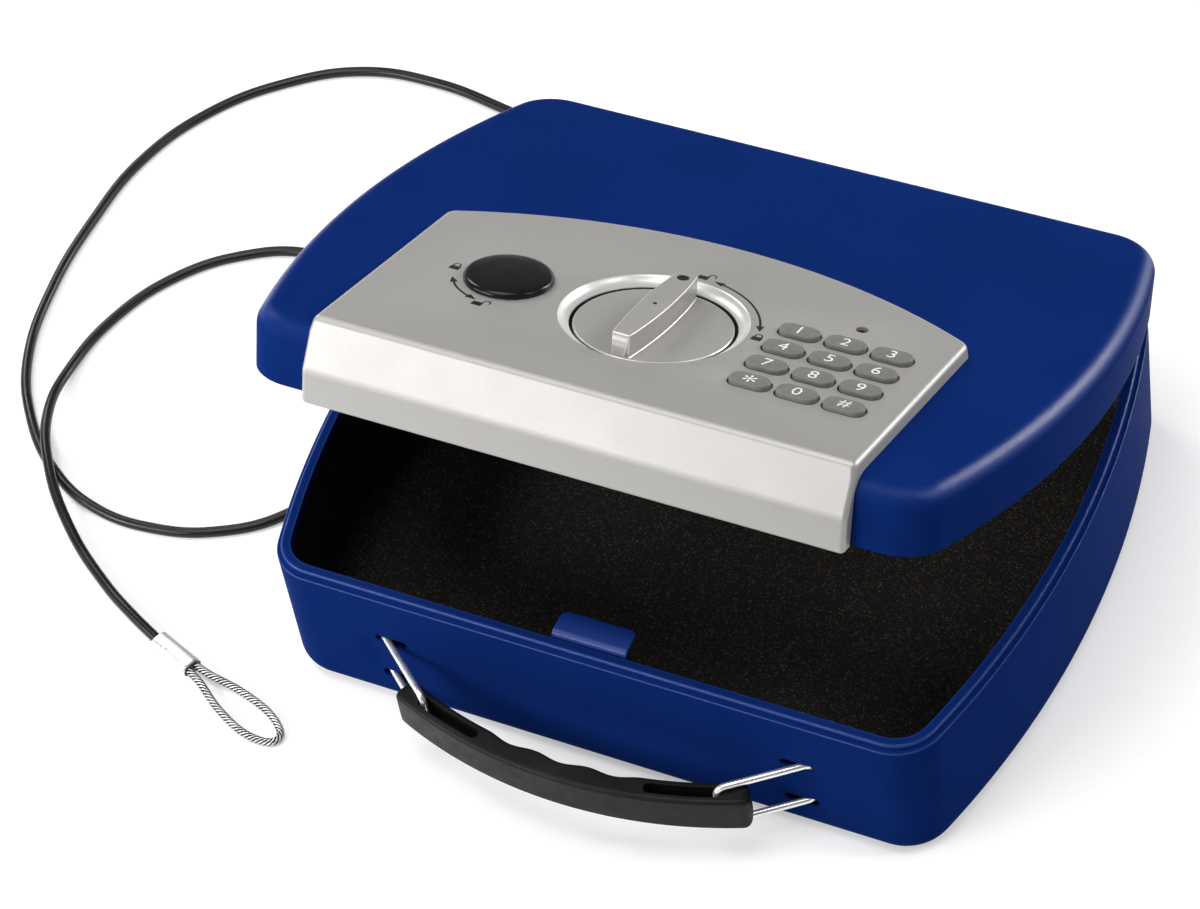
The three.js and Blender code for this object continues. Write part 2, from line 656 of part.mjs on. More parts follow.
function grip() {
  const z = [HANDLE_Z - GRIP_HEIGHT / 2, HANDLE_Z + GRIP_HEIGHT / 2];
  const bar = raised(gripOutline(GRIP_THICKNESS / 2, -GRIP_HALF_LENGTH, GRIP_HALF_LENGTH, 18), ...z);
  const half = WIRE_RADIUS + GRIP_SLOT_GAP;
  const outer = BAIL_END_X + half;
  const slots = bailSides.map(([, side]) => {
    const ends = ordered(side * (outer - GRIP_SLOT_LENGTH), side * outer);
    return raised(gripOutline(half, ...ends, 5), z[0] - CUT, z[1] + CUT);
  });
  return cut(bar, ...slots);
}

// One ring of wire in the upright plane of its legs, its ends butted behind the wall
function bail(side) {
  const half = BAIL_HEIGHT / 2;
  const at = (out, up) =>
    new THREE.Vector3(
      side * (BAIL_PIVOT_X - out * Math.cos(bailAngle)),
      BAIL_PIVOT_Y - out * Math.sin(bailAngle),
      HANDLE_Z + up,
    );
  const path = new THREE.CurvePath();
  const corners = [
    [0, half],
    [BAIL_LENGTH, half],
    [BAIL_LENGTH, -half],
    [0, -half],
  ];
  let [out, up] = [0, GAP];
  corners.forEach(([cornerOut, cornerUp], i) => {
    const [nextOut, nextUp] = corners[i + 1] ?? [0, 0];
    const before = [
      cornerOut - Math.sign(cornerOut - out) * BAIL_BEND,
      cornerUp - Math.sign(cornerUp - up) * BAIL_BEND,
    ];
    const after = [
      cornerOut + Math.sign(nextOut - cornerOut) * BAIL_BEND,
      cornerUp + Math.sign(nextUp - cornerUp) * BAIL_BEND,
    ];
    path.add(new THREE.LineCurve3(at(out, up), at(...before)));
    path.add(new THREE.QuadraticBezierCurve3(at(...before), at(cornerOut, cornerUp), at(...after)));
    [out, up] = after;
  });
  path.add(new THREE.LineCurve3(at(out, up), at(0, -GAP)));
  return drawn(path, WIRE_RADIUS, WIRE_SIDES, BAIL_STEPS);
}

// Lid: a pressed steel tray turned over, with holes for what the lock passes through it
function lidShell() {
  const outside = stacked([
    [0, LID_EDGE],
    ...roundedEdge(0, LID_TOP, LID_EDGE_RADIUS, 4, true),
  ]);
  const inside = stacked([
    [STEEL, LID_EDGE - CUT],
    ...roundedEdge(STEEL, LID_CEILING, LID_EDGE_RADIUS - STEEL, 4, true),
  ]);
  const z = [LID_CEILING - CUT, LID_TOP + CUT];
  const wall = [BACK_Y - STEEL - CUT, BACK_Y + CUT];
  const holes = [
    post(0, DIAL_Y, ...z, SPINDLE_RADIUS + RUN_GAP),
    post(CAP_X, CAP_Y, ...z, CYLINDER_RADIUS + GAP),
    ...screwPlaces.map(([x, y]) => post(x, y, ...z, SCREW_RADIUS + GAP, 12)),
    ...hingeRivetPlaces.map((x) => along(x, hingeRivetZ(1), ...wall, RIVET_RADIUS + GAP, 10)),
  ];
  return cut(outside, inside, ...holes);
}

// Panel: a moulded cover that stands on the lid's top and wraps over its front edge
const screwPlaces = [
  [-SCREW_X, SCREW_FRONT_Y],
  [SCREW_X, SCREW_FRONT_Y],
  [-SCREW_X, SCREW_BACK_Y],
  [SCREW_X, SCREW_BACK_Y],
];

// The panel in plan: straight sides, a bowed back edge and rounded corners between them. It reaches ahead of
// the lid's front wall.
function panelOutline(inset) {
  const half = PANEL_HALF_WIDTH - inset;
  const radius = (PANEL_HALF_WIDTH ** 2 + PANEL_BACK_BULGE ** 2) / (2 * PANEL_BACK_BULGE);
  const centreY = PANEL_BACK_Y + PANEL_BACK_BULGE - radius;
  const corner = Math.max(PANEL_BACK_CORNER - inset, LEAST_CORNER);
  const cornerX = half - corner;
  const cornerY = centreY + Math.sqrt((radius - inset - corner) ** 2 - cornerX ** 2);
  const turn = Math.atan2(cornerY - centreY, cornerX);
  const frontY = FRONT_Y - PANEL_FACE_OUT - CUT;
  const right = arcPoints(cornerX, cornerY, corner, 0, turn, CORNER_STEPS);
  const left = right.map((point) => new THREE.Vector2(-point.x, point.y)).reverse();
  const bow = arcPoints(0, centreY, radius - inset, turn, Math.PI - turn, 16).slice(1, -1);
  return [new THREE.Vector2(-half, frontY), new THREE.Vector2(half, frontY), ...right, ...bow, ...left];
}

// The panel from the side: top, sloping face and skirt, moved inwards by a wall, drawn along X
function panelProfile(wall, bottom) {
  const lean = Math.atan2(PANEL_RIDGE_Y - FRONT_Y + PANEL_FACE_OUT, PANEL_CHAMFER_DROP);
  const faceY = FRONT_Y - PANEL_FACE_OUT + wall;
  const topZ = PANEL_Z - (wall ? PANEL_TOP : 0);
  const kneeZ = PANEL_Z - PANEL_CHAMFER_DROP - wall * Math.tan(lean / 2);
  const ridgeY = faceY + (topZ - kneeZ) * Math.tan(lean);
  const points = [
    [faceY, bottom],
    [faceY, kneeZ],
    [ridgeY, topZ],
    [BACK_Y, topZ],
    [BACK_Y, bottom],
  ].map(([y, z]) => new THREE.Vector2(y, z));
  const reach = FRONT_HALF_WIDTH;
  const shape = new THREE.Shape(points);
  const geometry = new THREE.ExtrudeGeometry(shape, { depth: 2 * reach, bevelEnabled: false });
  geometry.translate(0, 0, -reach);
  geometry.applyMatrix4(new THREE.Matrix4().set(0, 0, 1, 0, 1, 0, 0, 0, 0, 1, 0, 0, 0, 0, 0, 1));
  return solid(geometry);
}

function panel() {
  const bottom = TUB_HEIGHT - PANEL_SKIRT_DROP;
  const plan = stacked([
    [-PANEL_SIDE_SLOPE, bottom],
    [-PANEL_SIDE_SLOPE, LID_TOP],
    [0, PANEL_Z],
  ], panelOutline);
  const planInside = stacked([
    [PANEL_WALL - PANEL_SIDE_SLOPE, bottom - CUT],
    [PANEL_WALL - PANEL_SIDE_SLOPE, LID_TOP],
    [PANEL_WALL, PANEL_Z],
  ], panelOutline);
  const outside = panelProfile(0, bottom).intersect(plan);
  const hollow = panelProfile(PANEL_WALL, bottom - CUT).intersect(planInside);
  const lidRoom = stacked([
    [-GAP, bottom - CUT],
    ...roundedEdge(-GAP, LID_TOP + GAP, LID_EDGE_RADIUS + GAP, 4, true),
  ]);
  const dish = turned(0, DIAL_Y, [
    [0, LID_TOP],
    [DIAL_RADIUS + DIAL_GAP, LID_TOP],
    [DIAL_RADIUS + DIAL_GAP, DIAL_Z],
    [DISH_RADIUS, PANEL_Z],
    [DISH_RADIUS, PANEL_Z + CUT],
    [0, PANEL_Z + CUT],
  ], 40);
  const dishWall = turned(0, DIAL_Y, [
    [0, LID_TOP + GAP],
    [DISH_RADIUS, LID_TOP + GAP],
    [DISH_RADIUS + PANEL_WALL, PANEL_UNDERSIDE],
    [0, PANEL_UNDERSIDE],
  ], 40);
  const bosses = screwPlaces.map(([x, y]) => post(x, y, LID_TOP + GAP, PANEL_UNDERSIDE, BOSS_RADIUS, 14));
  const z = [PANEL_UNDERSIDE - CUT, PANEL_Z + CUT];
  const threadTop = PANEL_UNDERSIDE + PANEL_TOP / 4;
  const openings = [
    post(CAP_X, CAP_Y, ...z, CAP_SPIGOT_RADIUS + GAP, 28),
    post(KEYPAD_X, KEYPAD_Y + LAMP_UP, ...z, LAMP_RADIUS + GAP, 12),
    ...keyPlaces.map(([, x, y]) => raised(keyOutline(KEY_GAP, x, y), ...z)),
    ...screwPlaces.map(([x, y]) => post(x, y, LID_TOP, threadTop, SCREW_RADIUS + GAP, 12)),
  ];
  return cut(join(cut(outside, hollow, lidRoom), dishWall, ...bosses), dish, ...openings);
}

// Keys: twelve long ovals, a little drawn in at the waist, each with a flange under the panel
const keyNames = [
  ["1", "2", "3"],
  ["4", "5", "6"],
  ["7", "8", "9"],
  ["star", "0", "hash"],
];
const keyPlaces = keyNames.flatMap((row, r) =>
  row.map((name, c) => [
    name,
    KEYPAD_X + (c - (row.length - 1) / 2) * KEY_PITCH_X,
    KEYPAD_Y - (r - (keyNames.length - 1) / 2) * KEY_PITCH_Y,
  ]),
);
const KEY_SIDES = 16;
const KEY_SQUARENESS_SHARE = 0.8;

function keyOutline(grow, x, y) {
  const points = [];
  for (let i = 0; i < KEY_SIDES; i++) {
    const angle = (2 * Math.PI * i) / KEY_SIDES;
    const squared = (value) => Math.sign(value) * Math.abs(value) ** KEY_SQUARENESS_SHARE;
    const waist = 1 - KEY_WAIST_SHARE * Math.abs(Math.sin(angle)) ** 4;
    points.push(
      new THREE.Vector2(
        x + (KEY_LENGTH / 2 + grow) * squared(Math.cos(angle)),
        y + (KEY_WIDTH / 2 + grow) * squared(Math.sin(angle)) * waist,
      ),
    );
  }
  return points;
}

function key(x, y) {
  const flangeTop = PANEL_UNDERSIDE - GAP;
  return join(
    raised(keyOutline(0, x, y), flangeTop - KEY_FLANGE, PANEL_Z + KEY_RISE),
    raised(keyOutline(KEY_FLANGE_WIDTH, x, y), flangeTop - KEY_FLANGE, flangeTop),
  );
}

function keypadBoard() {
  const halfX = KEY_PITCH_X + KEY_LENGTH / 2 + BOARD_MARGIN;
  const halfY = KEY_PITCH_Y * 1.5 + KEY_WIDTH / 2 + BOARD_MARGIN;
  const z = LID_TOP + GAP;
  return block([KEYPAD_X - halfX, KEYPAD_X + halfX], [KEYPAD_Y - halfY, KEYPAD_Y + halfY], [z, z + BOARD]);
}

function lampLens() {
  const y = KEYPAD_Y + LAMP_UP;
  return turned(KEYPAD_X, y, [
    [0, LID_TOP + GAP],
    [LAMP_RADIUS, LID_TOP + GAP],
    [LAMP_RADIUS, PANEL_Z - GAP],
    [LAMP_RADIUS / 2, PANEL_Z],
    [0, PANEL_Z],
  ], 12);
}

// Dial: a thin disc in the panel's dish with a bar to grip, pointing at the back when it is unlocked
function dial() {
  const disc = post(0, DIAL_Y, DIAL_Z - DIAL_DISC, DIAL_Z, DIAL_RADIUS, 40);
  const outline = [];
  const steps = 8;
  for (const side of [1, -1]) {
    for (let i = 0; i <= steps; i++) {
      const share = (2 * i) / steps - 1;
      const half = BAR_END_HALF_WIDTH + (BAR_HALF_WIDTH - BAR_END_HALF_WIDTH) * (1 - share ** 2);
      outline.push(new THREE.Vector2(side * half, DIAL_Y + side * share * BAR_HALF_LENGTH));
    }
  }
  return join(disc, raised(outline, DIAL_Z - DIAL_DISC / 2, DIAL_Z + BAR_HEIGHT));
}

// Spindle: shaft from the dial down to the crank, with the lock cam above it. The cam has a notch for the
// plunger where the dial is locked and another where it is unlocked.
function spindle() {
  const top = DIAL_Z - DIAL_DISC - GAP;
  const camBottom = CASE_FLOOR + CAM_RISE;
  const shaft = post(0, DIAL_Y, CRANK_BOTTOM, top, SPINDLE_RADIUS);
  const crank = post(0, DIAL_Y, CRANK_BOTTOM, CRANK_TOP, CRANK_RADIUS, 24);
  const pin = post(CRANK_PIN_X, CRANK_PIN_Y, BOLT_BOTTOM + GAP, CRANK_TOP, CRANK_PIN_RADIUS, 14);
  const cam = post(0, DIAL_Y, camBottom, camBottom + CAM, CAM_RADIUS, 28);
  const half = PLUNGER_RADIUS + RUN_GAP;
  const deep = CAM_RADIUS - PLUNGER_TRAVEL - RUN_GAP;
  const camZ = [camBottom - CUT, camBottom + CAM + CUT];
  const frontNotch = block([-half, half], [DIAL_Y - CAM_RADIUS - CUT, DIAL_Y - deep], camZ);
  const sideNotch = block([-CAM_RADIUS - CUT, -deep], [DIAL_Y - half, DIAL_Y + half], camZ);
  return join(shaft, crank, pin, cut(cam, frontNotch, sideNotch));
}

// Bolt: a flat slide that the crank pin pushes out of the case under the keeper's shelf
function bolt() {
  const half = NOSE_HALF_WIDTH - CASE_WALL - RUN_GAP;
  const plate = block([-half, half], [CASE_FRONT_Y - BOLT_REACH, BOLT_END_Y], [BOLT_BOTTOM, BOLT_TOP]);
  const slot = block(
    [CRANK_PIN_X - BOLT_SLOT_HALF, CRANK_ARM + BOLT_SLOT_HALF],
    [CRANK_PIN_Y - BOLT_SLOT_HALF, CRANK_PIN_Y + BOLT_SLOT_HALF],
    [BOLT_BOTTOM - CUT, BOLT_TOP + CUT],
  );
  return cut(plate, slot);
}

// Case: a moulded tray screwed up under the lid, with a deeper nose for the bolt
function lockCase() {
  const inner = (range) => [range[0] + CASE_WALL, range[1] - CASE_WALL];
  const x = [-CASE_HALF_LENGTH, CASE_HALF_LENGTH];
  const y = [CASE_FRONT_Y, CASE_BACK_Y];
  const noseX = [-NOSE_HALF_WIDTH, NOSE_HALF_WIDTH];
  const noseY = [CASE_FRONT_Y, NOSE_BACK_Y];
  const flange = block(
    [-CASE_HALF_LENGTH - FLANGE_SIDE, CASE_HALF_LENGTH + FLANGE_SIDE],
    [CASE_FRONT_Y - FLANGE_MARGIN, CASE_BACK_Y + FLANGE_MARGIN / 2],
    [CASE_TOP - FLANGE, CASE_TOP],
  );
  const body = join(
    block(x, y, [CASE_BOTTOM, CASE_TOP]),
    block(noseX, noseY, [NOSE_BOTTOM, CASE_BOTTOM + CASE_WALL]),
    flange,
  );
  const room = block(inner(x), inner(y), [CASE_FLOOR, CASE_TOP + CUT]);
  const noseRoom = block(inner(noseX), inner(noseY), [NOSE_FLOOR, CASE_FLOOR + CUT]);
  const boltWay = block(
    inner(noseX),
    [CASE_FRONT_Y - CUT, CASE_FRONT_Y + CASE_WALL + CUT],
    [NOSE_FLOOR, BOLT_TOP + RUN_GAP],
  );
  const doorWay = block(...doorSpan(0), [CASE_BOTTOM - CUT, CASE_FLOOR + CUT]);
  const screwHoles = screwPlaces.map(([sx, sy]) =>
    post(sx, sy, CASE_TOP - FLANGE - CUT, CASE_TOP + CUT, SCREW_RADIUS + GAP, 12),
  );
  return cut(body, room, noseRoom, boltWay, doorWay, ...screwHoles);
}

function doorSpan(gap) {
  const halfX = CELL_LENGTH / 2 + CELL_TIP + DOOR_MARGIN - gap;
  const halfY = (CELL_COUNT * CELL_PITCH) / 2 - gap;
  return [
    [CELL_X - halfX, CELL_X + halfX],
    [CELL_Y - halfY, CELL_Y + halfY],
  ];
}

// Door over the cells: a plate in the case's floor with a finger dent
function batteryDoor() {
  const plate = block(...doorSpan(GAP), [CASE_BOTTOM, CASE_FLOOR - GAP]);
  const dent = block(
    [CELL_X - CELL_RADIUS, CELL_X + CELL_RADIUS],
    [CELL_Y - CELL_PITCH / 4, CELL_Y + CELL_PITCH / 4],
    [CASE_BOTTOM - CUT, CASE_BOTTOM + DOOR_CATCH],
  );
  return cut(plate, dent);
}

function cell(index) {
  const y = CELL_Y + (index - (CELL_COUNT - 1) / 2) * CELL_PITCH;
  const z = CASE_FLOOR + GAP + CELL_RADIUS;
  const way = index % 2 ? 1 : -1;
  const half = CELL_LENGTH / 2;
  const tip = ordered(CELL_X + way * (half - GAP), CELL_X + way * (half + CELL_TIP));
  return join(
    across(CELL_X - half, CELL_X + half, y, z, CELL_RADIUS),
    across(...tip, y, z, CELL_TIP_RADIUS, 10),
  );
}

// Solenoid beside the cam, and the plunger that drops into the cam's notch when the dial is locked
const PLUNGER_Z = CASE_FLOOR + CAM_RISE + CAM / 2;
const PLUNGER_TIP_X = -CAM_RADIUS - RUN_GAP;

function solenoid() {
  const front = PLUNGER_TIP_X - SOLENOID_SETBACK;
  const body = block(
    [front - SOLENOID_LENGTH, front],
    [DIAL_Y - SOLENOID_WIDTH / 2, DIAL_Y + SOLENOID_WIDTH / 2],
    [CASE_FLOOR + GAP, CASE_FLOOR + GAP + SOLENOID_HEIGHT],
  );
  const boreStart = front - SOLENOID_LENGTH + CUT;
  const bore = across(boreStart, front + CUT, DIAL_Y, PLUNGER_Z, PLUNGER_RADIUS + GAP, 14);
  return cut(body, bore);
}

// Spare-key lock: a cylinder through the lid and the plug that the key turns
function keyCylinder() {
  const top = PANEL_UNDERSIDE - GAP;
  const body = post(CAP_X, CAP_Y, top - CYLINDER_LENGTH, top, CYLINDER_RADIUS, 24);
  return cut(body, post(CAP_X, CAP_Y, top - CYLINDER_LENGTH - CUT, top + CUT, PLUG_RADIUS + GAP, 20));
}

function keyPlug() {
  const top = PANEL_UNDERSIDE - GAP;
  const body = post(CAP_X, CAP_Y, top - CYLINDER_LENGTH, top, PLUG_RADIUS);
  const keyway = block(
    [CAP_X - KEYWAY_LENGTH / 2, CAP_X + KEYWAY_LENGTH / 2],
    [CAP_Y - KEYWAY_WIDTH / 2, CAP_Y + KEYWAY_WIDTH / 2],
    [top - KEYWAY_DEPTH, top + CUT],
  );
  return cut(body, keyway);
}

// Cap: a shallow domed puck with a ring that snaps into the panel
function keyCap() {
  const seat = PANEL_Z + GAP;
  const inner = CAP_SPIGOT_RADIUS - CAP_SPIGOT_WALL;
  return turned(CAP_X, CAP_Y, [
    [0, seat + CAP_HEIGHT / 4],
    [inner, seat + CAP_HEIGHT / 4],
    [inner, seat - CAP_SPIGOT_DEPTH],
    [CAP_SPIGOT_RADIUS, seat - CAP_SPIGOT_DEPTH],
    [CAP_SPIGOT_RADIUS, seat],
    [CAP_RADIUS, seat],
    [CAP_RADIUS, seat + CAP_HEIGHT / 2],
    [CAP_RADIUS - CAP_HEIGHT / 3, seat + CAP_HEIGHT * 0.8],
    [CAP_RADIUS - CAP_HEIGHT, seat + CAP_HEIGHT],
    [0, seat + CAP_HEIGHT],
  ], 32);
}

// A screw up through the case's flange and the lid into the panel's boss
function caseScrew(x, y) {
  const seat = CASE_TOP - FLANGE - GAP;
  return turned(x, y, [
    [0, seat - SCREW_HEAD],
    [SCREW_HEAD_RADIUS * 0.7, seat - SCREW_HEAD],
    [SCREW_HEAD_RADIUS, seat - SCREW_HEAD / 2],
    [SCREW_HEAD_RADIUS, seat],
    [SCREW_RADIUS, seat],
    [SCREW_RADIUS, seat + SCREW_LENGTH - SCREW_HEAD],
    [0, seat + SCREW_LENGTH - SCREW_HEAD],
  ], 12);
}

// Cable: out of the back wall, a wide loop round the left, under itself, and forward to its ferrule
const EXIT_Y = BACK_Y + GAP + GROMMET_FLANGE + GAP;
const FLOOR_Z = CABLE_RADIUS + 2 * CORD_REST;
const OVER_Z = FLOOR_Z + 2.15 * CABLE_RADIUS;
const FERRULE_Z = FERRULE_HALF_HEIGHT + CORD_REST;
const FERRULE_START = [-173.4, -115.4];
const FERRULE_END_DIRECTION = [0.934, -0.357];
const cableRoute = [
  [CABLE_EXIT_X, EXIT_Y, CABLE_EXIT_Z],
  [-95.5, 120, 13],
  [-98, 132, 8.5],
  [-106, 144, 4],
  [-120, 153, FLOOR_Z],
  [-146, 163, FLOOR_Z],
  [-174, 169.5, FLOOR_Z],
  [-208, 174.5, FLOOR_Z],
  [-240, 171, FLOOR_Z],
  [-267, 155, FLOOR_Z],
  [-289, 130, FLOOR_Z],
  [-302, 97, FLOOR_Z],
  [-304, 62, FLOOR_Z],
  [-301, 25, FLOOR_Z],
  [-291, -11, FLOOR_Z],
  [-275, -36, FLOOR_Z],
  [-252, -57, FLOOR_Z],
  [-228, -68, FLOOR_Z],
  [-203, -69.5, FLOOR_Z],
  [-178, -62.5, FLOOR_Z],
  [-158, -47, FLOOR_Z],
  [-147.5, -24, FLOOR_Z],
  [-145.5, 4, FLOOR_Z],
  [-151, 32, FLOOR_Z],
  [-166, 56, FLOOR_Z],
  [-189, 70.5, FLOOR_Z],
  [-214, 73.5, FLOOR_Z],
  [-238, 63.5, FLOOR_Z],
  [-257, 45, FLOOR_Z],
  [-269, 19, FLOOR_Z],
  [-272, -10, FLOOR_Z + 0.35 * CABLE_RADIUS],
  [-266, -36, OVER_Z],
  [-252, -59, OVER_Z],
  [-231, -80.5, FLOOR_Z + 0.75 * CABLE_RADIUS],
  [-205, -99, FLOOR_Z + 0.3 * CABLE_RADIUS],
  [-188, -108.5, FERRULE_Z],
  [...FERRULE_START, FERRULE_Z],
];

function tetherCable() {
  const points = cableRoute.map(([x, y, z]) => new THREE.Vector3(x, y, z));
  const curve = new THREE.CatmullRomCurve3(points, false, "centripetal");
  return drawn(curve, CABLE_RADIUS, CABLE_SIDES, CABLE_STEPS);
}

// A frame that runs along the cable's far end: forward, sideways, up
const endWay = new THREE.Vector3(...FERRULE_END_DIRECTION, 0).normalize();
const endSide = new THREE.Vector3(-endWay.y, endWay.x, 0);

function beyondCable(forward, sideways, up) {
  return new THREE.Vector3(...FERRULE_START, 0)
    .addScaledVector(endWay, forward)
    .addScaledVector(endSide, sideways)
    .setZ(up);
}

// An oval sleeve: a turned one, pressed to its height
function ferrule() {
  const end = GAP + FERRULE_LENGTH;
  const profile = [
    [0, GAP],
    [FERRULE_HALF_WIDTH - FERRULE_CHAMFER, GAP],
    [FERRULE_HALF_WIDTH, GAP + FERRULE_CHAMFER],
    [FERRULE_HALF_WIDTH, end - FERRULE_CHAMFER],
    [FERRULE_HALF_WIDTH - FERRULE_CHAMFER, end],
    [0, end],
  ].map(([radius, height]) => new THREE.Vector2(radius, height));
  const geometry = new THREE.LatheGeometry(profile, 16);
  geometry.scale(1, 1, FERRULE_HALF_HEIGHT / FERRULE_HALF_WIDTH);
  const turn = new THREE.Quaternion().setFromUnitVectors(new THREE.Vector3(0, 1, 0), endWay);
  geometry.applyQuaternion(turn);
  const start = beyondCable(0, 0, FERRULE_Z);
  return solid(geometry.translate(start.x, start.y, start.z));
}

// The bare rope's loop, out of the ferrule's end and back into it
function endLoop() {
  const start = FERRULE_LENGTH + 2 * GAP;
  const low = ROPE_RADIUS + CORD_REST;
  const lengthShares = [0, 0.16, 0.42, 0.72, 0.93, 1, 0.93, 0.72, 0.42, 0.16, 0];
  const widthShares = [0.27, 0.42, 0.86, 1, 0.62, 0, -0.62, -1, -0.86, -0.42, -0.27];
  const riseShares = [1, 0.8, 0.3, 0, 0, 0, 0, 0, 0.3, 0.8, 1];
  const points = lengthShares.map((share, i) => {
    const up = low + riseShares[i] * (FERRULE_Z - low);
    return beyondCable(start + share * LOOP_LENGTH, widthShares[i] * LOOP_HALF_WIDTH, up);
  });
  const curve = new THREE.CatmullRomCurve3(points, false, "centripetal");
  return drawn(curve, ROPE_RADIUS, WIRE_SIDES, LOOP_STEPS);
}

function grommet() {
  const inner = BACK_Y - STEEL - GAP;
  const outer = BACK_Y + GAP;
  const body = join(
    along(CABLE_EXIT_X, CABLE_EXIT_Z, inner, outer, GROMMET_RADIUS),
    along(CABLE_EXIT_X, CABLE_EXIT_Z, outer, outer + GROMMET_FLANGE, GROMMET_FLANGE_RADIUS),
  );
  const bore = along(CABLE_EXIT_X, CABLE_EXIT_Z, inner - CUT, outer + GROMMET_FLANGE + CUT, CABLE_RADIUS);
  return cut(body, bore);
}

// The crimped stop that keeps the cable's end inside, with the short length of cable in the grommet
function cableStop() {
  const inner = BACK_Y - STEEL - GAP;
  const front = inner - GAP;
  return join(
    along(CABLE_EXIT_X, CABLE_EXIT_Z, front - STOP_LENGTH, front, STOP_RADIUS),
    along(CABLE_EXIT_X, CABLE_EXIT_Z, front - CUT, EXIT_Y - GAP, CABLE_RADIUS - GAP, 12),
  );
}

function loopPost() {
  const seat = LINER_BOTTOM;
  return turned(POST_X, POST_Y, [
    [0, GAP],
    [RIVET_RADIUS, GAP],
    [RIVET_RADIUS, seat],
    [POST_RADIUS, seat],
    [POST_RADIUS, seat + POST_HEIGHT],
    [POST_HEAD_RADIUS, seat + POST_HEIGHT],
    [POST_HEAD_RADIUS, seat + POST_HEIGHT + POST_HEAD / 2],
    [POST_RADIUS, seat + POST_HEIGHT + POST_HEAD],
    [0, seat + POST_HEIGHT + POST_HEAD],
  ], 16);
}

// Base
add(safe, "base_tub", tub(), bluePaint);
add(safe, "base_liner", liner(), blackFoam);
add(safe, "keeper", keeper(), bluePaint);
keeperRivetPlaces.forEach((x, i) =>
  add(safe, `keeper_rivet_${i + 1}`, floorRivet(x, KEEPER_RIVET_Y, STEEL + GAP + KEEPER_STEEL + GAP), steel),
);
add(safe, "hinge_leaf_base", hingeLeaf(-1), steel);
const hingePin = across(-HINGE_HALF_LENGTH, HINGE_HALF_LENGTH, HINGE_Y, HINGE_Z, HINGE_PIN_RADIUS, 12);
add(safe, "hinge_pin", hingePin, steel);
hingeRivetPlaces.forEach((x, i) =>
  add(safe, `hinge_rivet_base_${i + 1}`, wallRivet(x, hingeRivetZ(-1)), steel),
);
add(safe, "loop_post", loopPost(), steel);
add(safe, "cable_grommet", grommet(), blackPlastic);
add(safe, "cable_stop", cableStop(), aluminium);
add(safe, "tether_cable", tetherCable(), glossBlack);
add(safe, "cable_ferrule", ferrule(), aluminium);
add(safe, "cable_end_loop", endLoop(), steel);

// Handle
add(safe, "handle_grip", grip(), blackPlastic);
for (const [name, side] of bailSides) add(safe, `handle_bail_${name}`, bail(side), steel);

// Lid
add(lid, "lid_shell", lidShell(), bluePaint);
add(lid, "hinge_leaf_lid", hingeLeaf(1), steel);
hingeRivetPlaces.forEach((x, i) =>
  add(lid, `hinge_rivet_lid_${i + 1}`, wallRivet(x, hingeRivetZ(1)), steel),
);
add(lid, "lock_panel", panel(), silverPaint);
add(lid, "lock_case", lockCase(), blackPlastic);
screwPlaces.forEach(([x, y], i) => add(lid, `case_screw_${i + 1}`, caseScrew(x, y), steel));

// Dial and bolt
add(lid, "dial", dial(), silverPaint);
add(lid, "dial_spindle", spindle(), steel);
add(lid, "latch_bolt", bolt(), steel);
add(lid, "solenoid", solenoid(), steel);
add(
  lid,
  "solenoid_plunger",
  across(PLUNGER_TIP_X - PLUNGER_LENGTH, PLUNGER_TIP_X, DIAL_Y, PLUNGER_Z, PLUNGER_RADIUS, 14),
  steel,
);

// Spare-key lock
add(lid, "key_cylinder", keyCylinder(), brass);
add(lid, "key_plug", keyPlug(), brass);
add(lid, "key_cap", keyCap(), glossBlack);

// Keypad
add(lid, "keypad_board", keypadBoard(), boardGreen);
for (const [name, x, y] of keyPlaces) add(lid, `key_${name}`, key(x, y), keyGrey);
add(lid, "lamp_lens", lampLens(), glossBlack);

// Cells
add(lid, "battery_door", batteryDoor(), blackPlastic);
for (let i = 0; i < CELL_COUNT; i++) add(lid, `cell_${i + 1}`, cell(i), cellBlack);

export default safe;
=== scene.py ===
import bmesh
import bpy
import math
from mathutils import Matrix, Vector


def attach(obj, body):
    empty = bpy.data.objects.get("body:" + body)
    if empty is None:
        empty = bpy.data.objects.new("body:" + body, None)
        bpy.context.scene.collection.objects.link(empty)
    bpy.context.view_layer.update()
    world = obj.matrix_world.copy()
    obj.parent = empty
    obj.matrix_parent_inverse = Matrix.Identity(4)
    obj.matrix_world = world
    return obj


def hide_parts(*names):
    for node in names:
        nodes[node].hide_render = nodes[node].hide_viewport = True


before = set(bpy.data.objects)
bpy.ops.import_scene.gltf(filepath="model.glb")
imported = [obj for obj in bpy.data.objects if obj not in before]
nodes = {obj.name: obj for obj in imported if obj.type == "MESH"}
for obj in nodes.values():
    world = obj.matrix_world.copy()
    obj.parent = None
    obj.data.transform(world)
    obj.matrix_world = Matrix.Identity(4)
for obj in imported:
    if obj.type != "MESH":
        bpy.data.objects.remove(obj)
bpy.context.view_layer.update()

# Camera: a long lens above the safe's front right, held a little askew. It looks at a place between the
# safe's middle and its cable, from about one and a half metres away.
camera_azimuth = math.radians(33.48)
camera_elevation = math.radians(48.34)
camera_roll = math.radians(-10.68)
camera_distance = 1.4636
camera_target = Vector((-0.04678, -0.00258, 0.030))
lens_mm = 123.0
sensor_mm = 36.0

back = Vector((
    math.sin(camera_azimuth) * math.cos(camera_elevation),
    -math.cos(camera_azimuth) * math.cos(camera_elevation),
    math.sin(camera_elevation),
))
level_right = (-back).cross(Vector((0, 0, 1))).normalized()
level_up = level_right.cross(-back)
right = math.cos(camera_roll) * level_right + math.sin(camera_roll) * level_up
up = -math.sin(camera_roll) * level_right + math.cos(camera_roll) * level_up


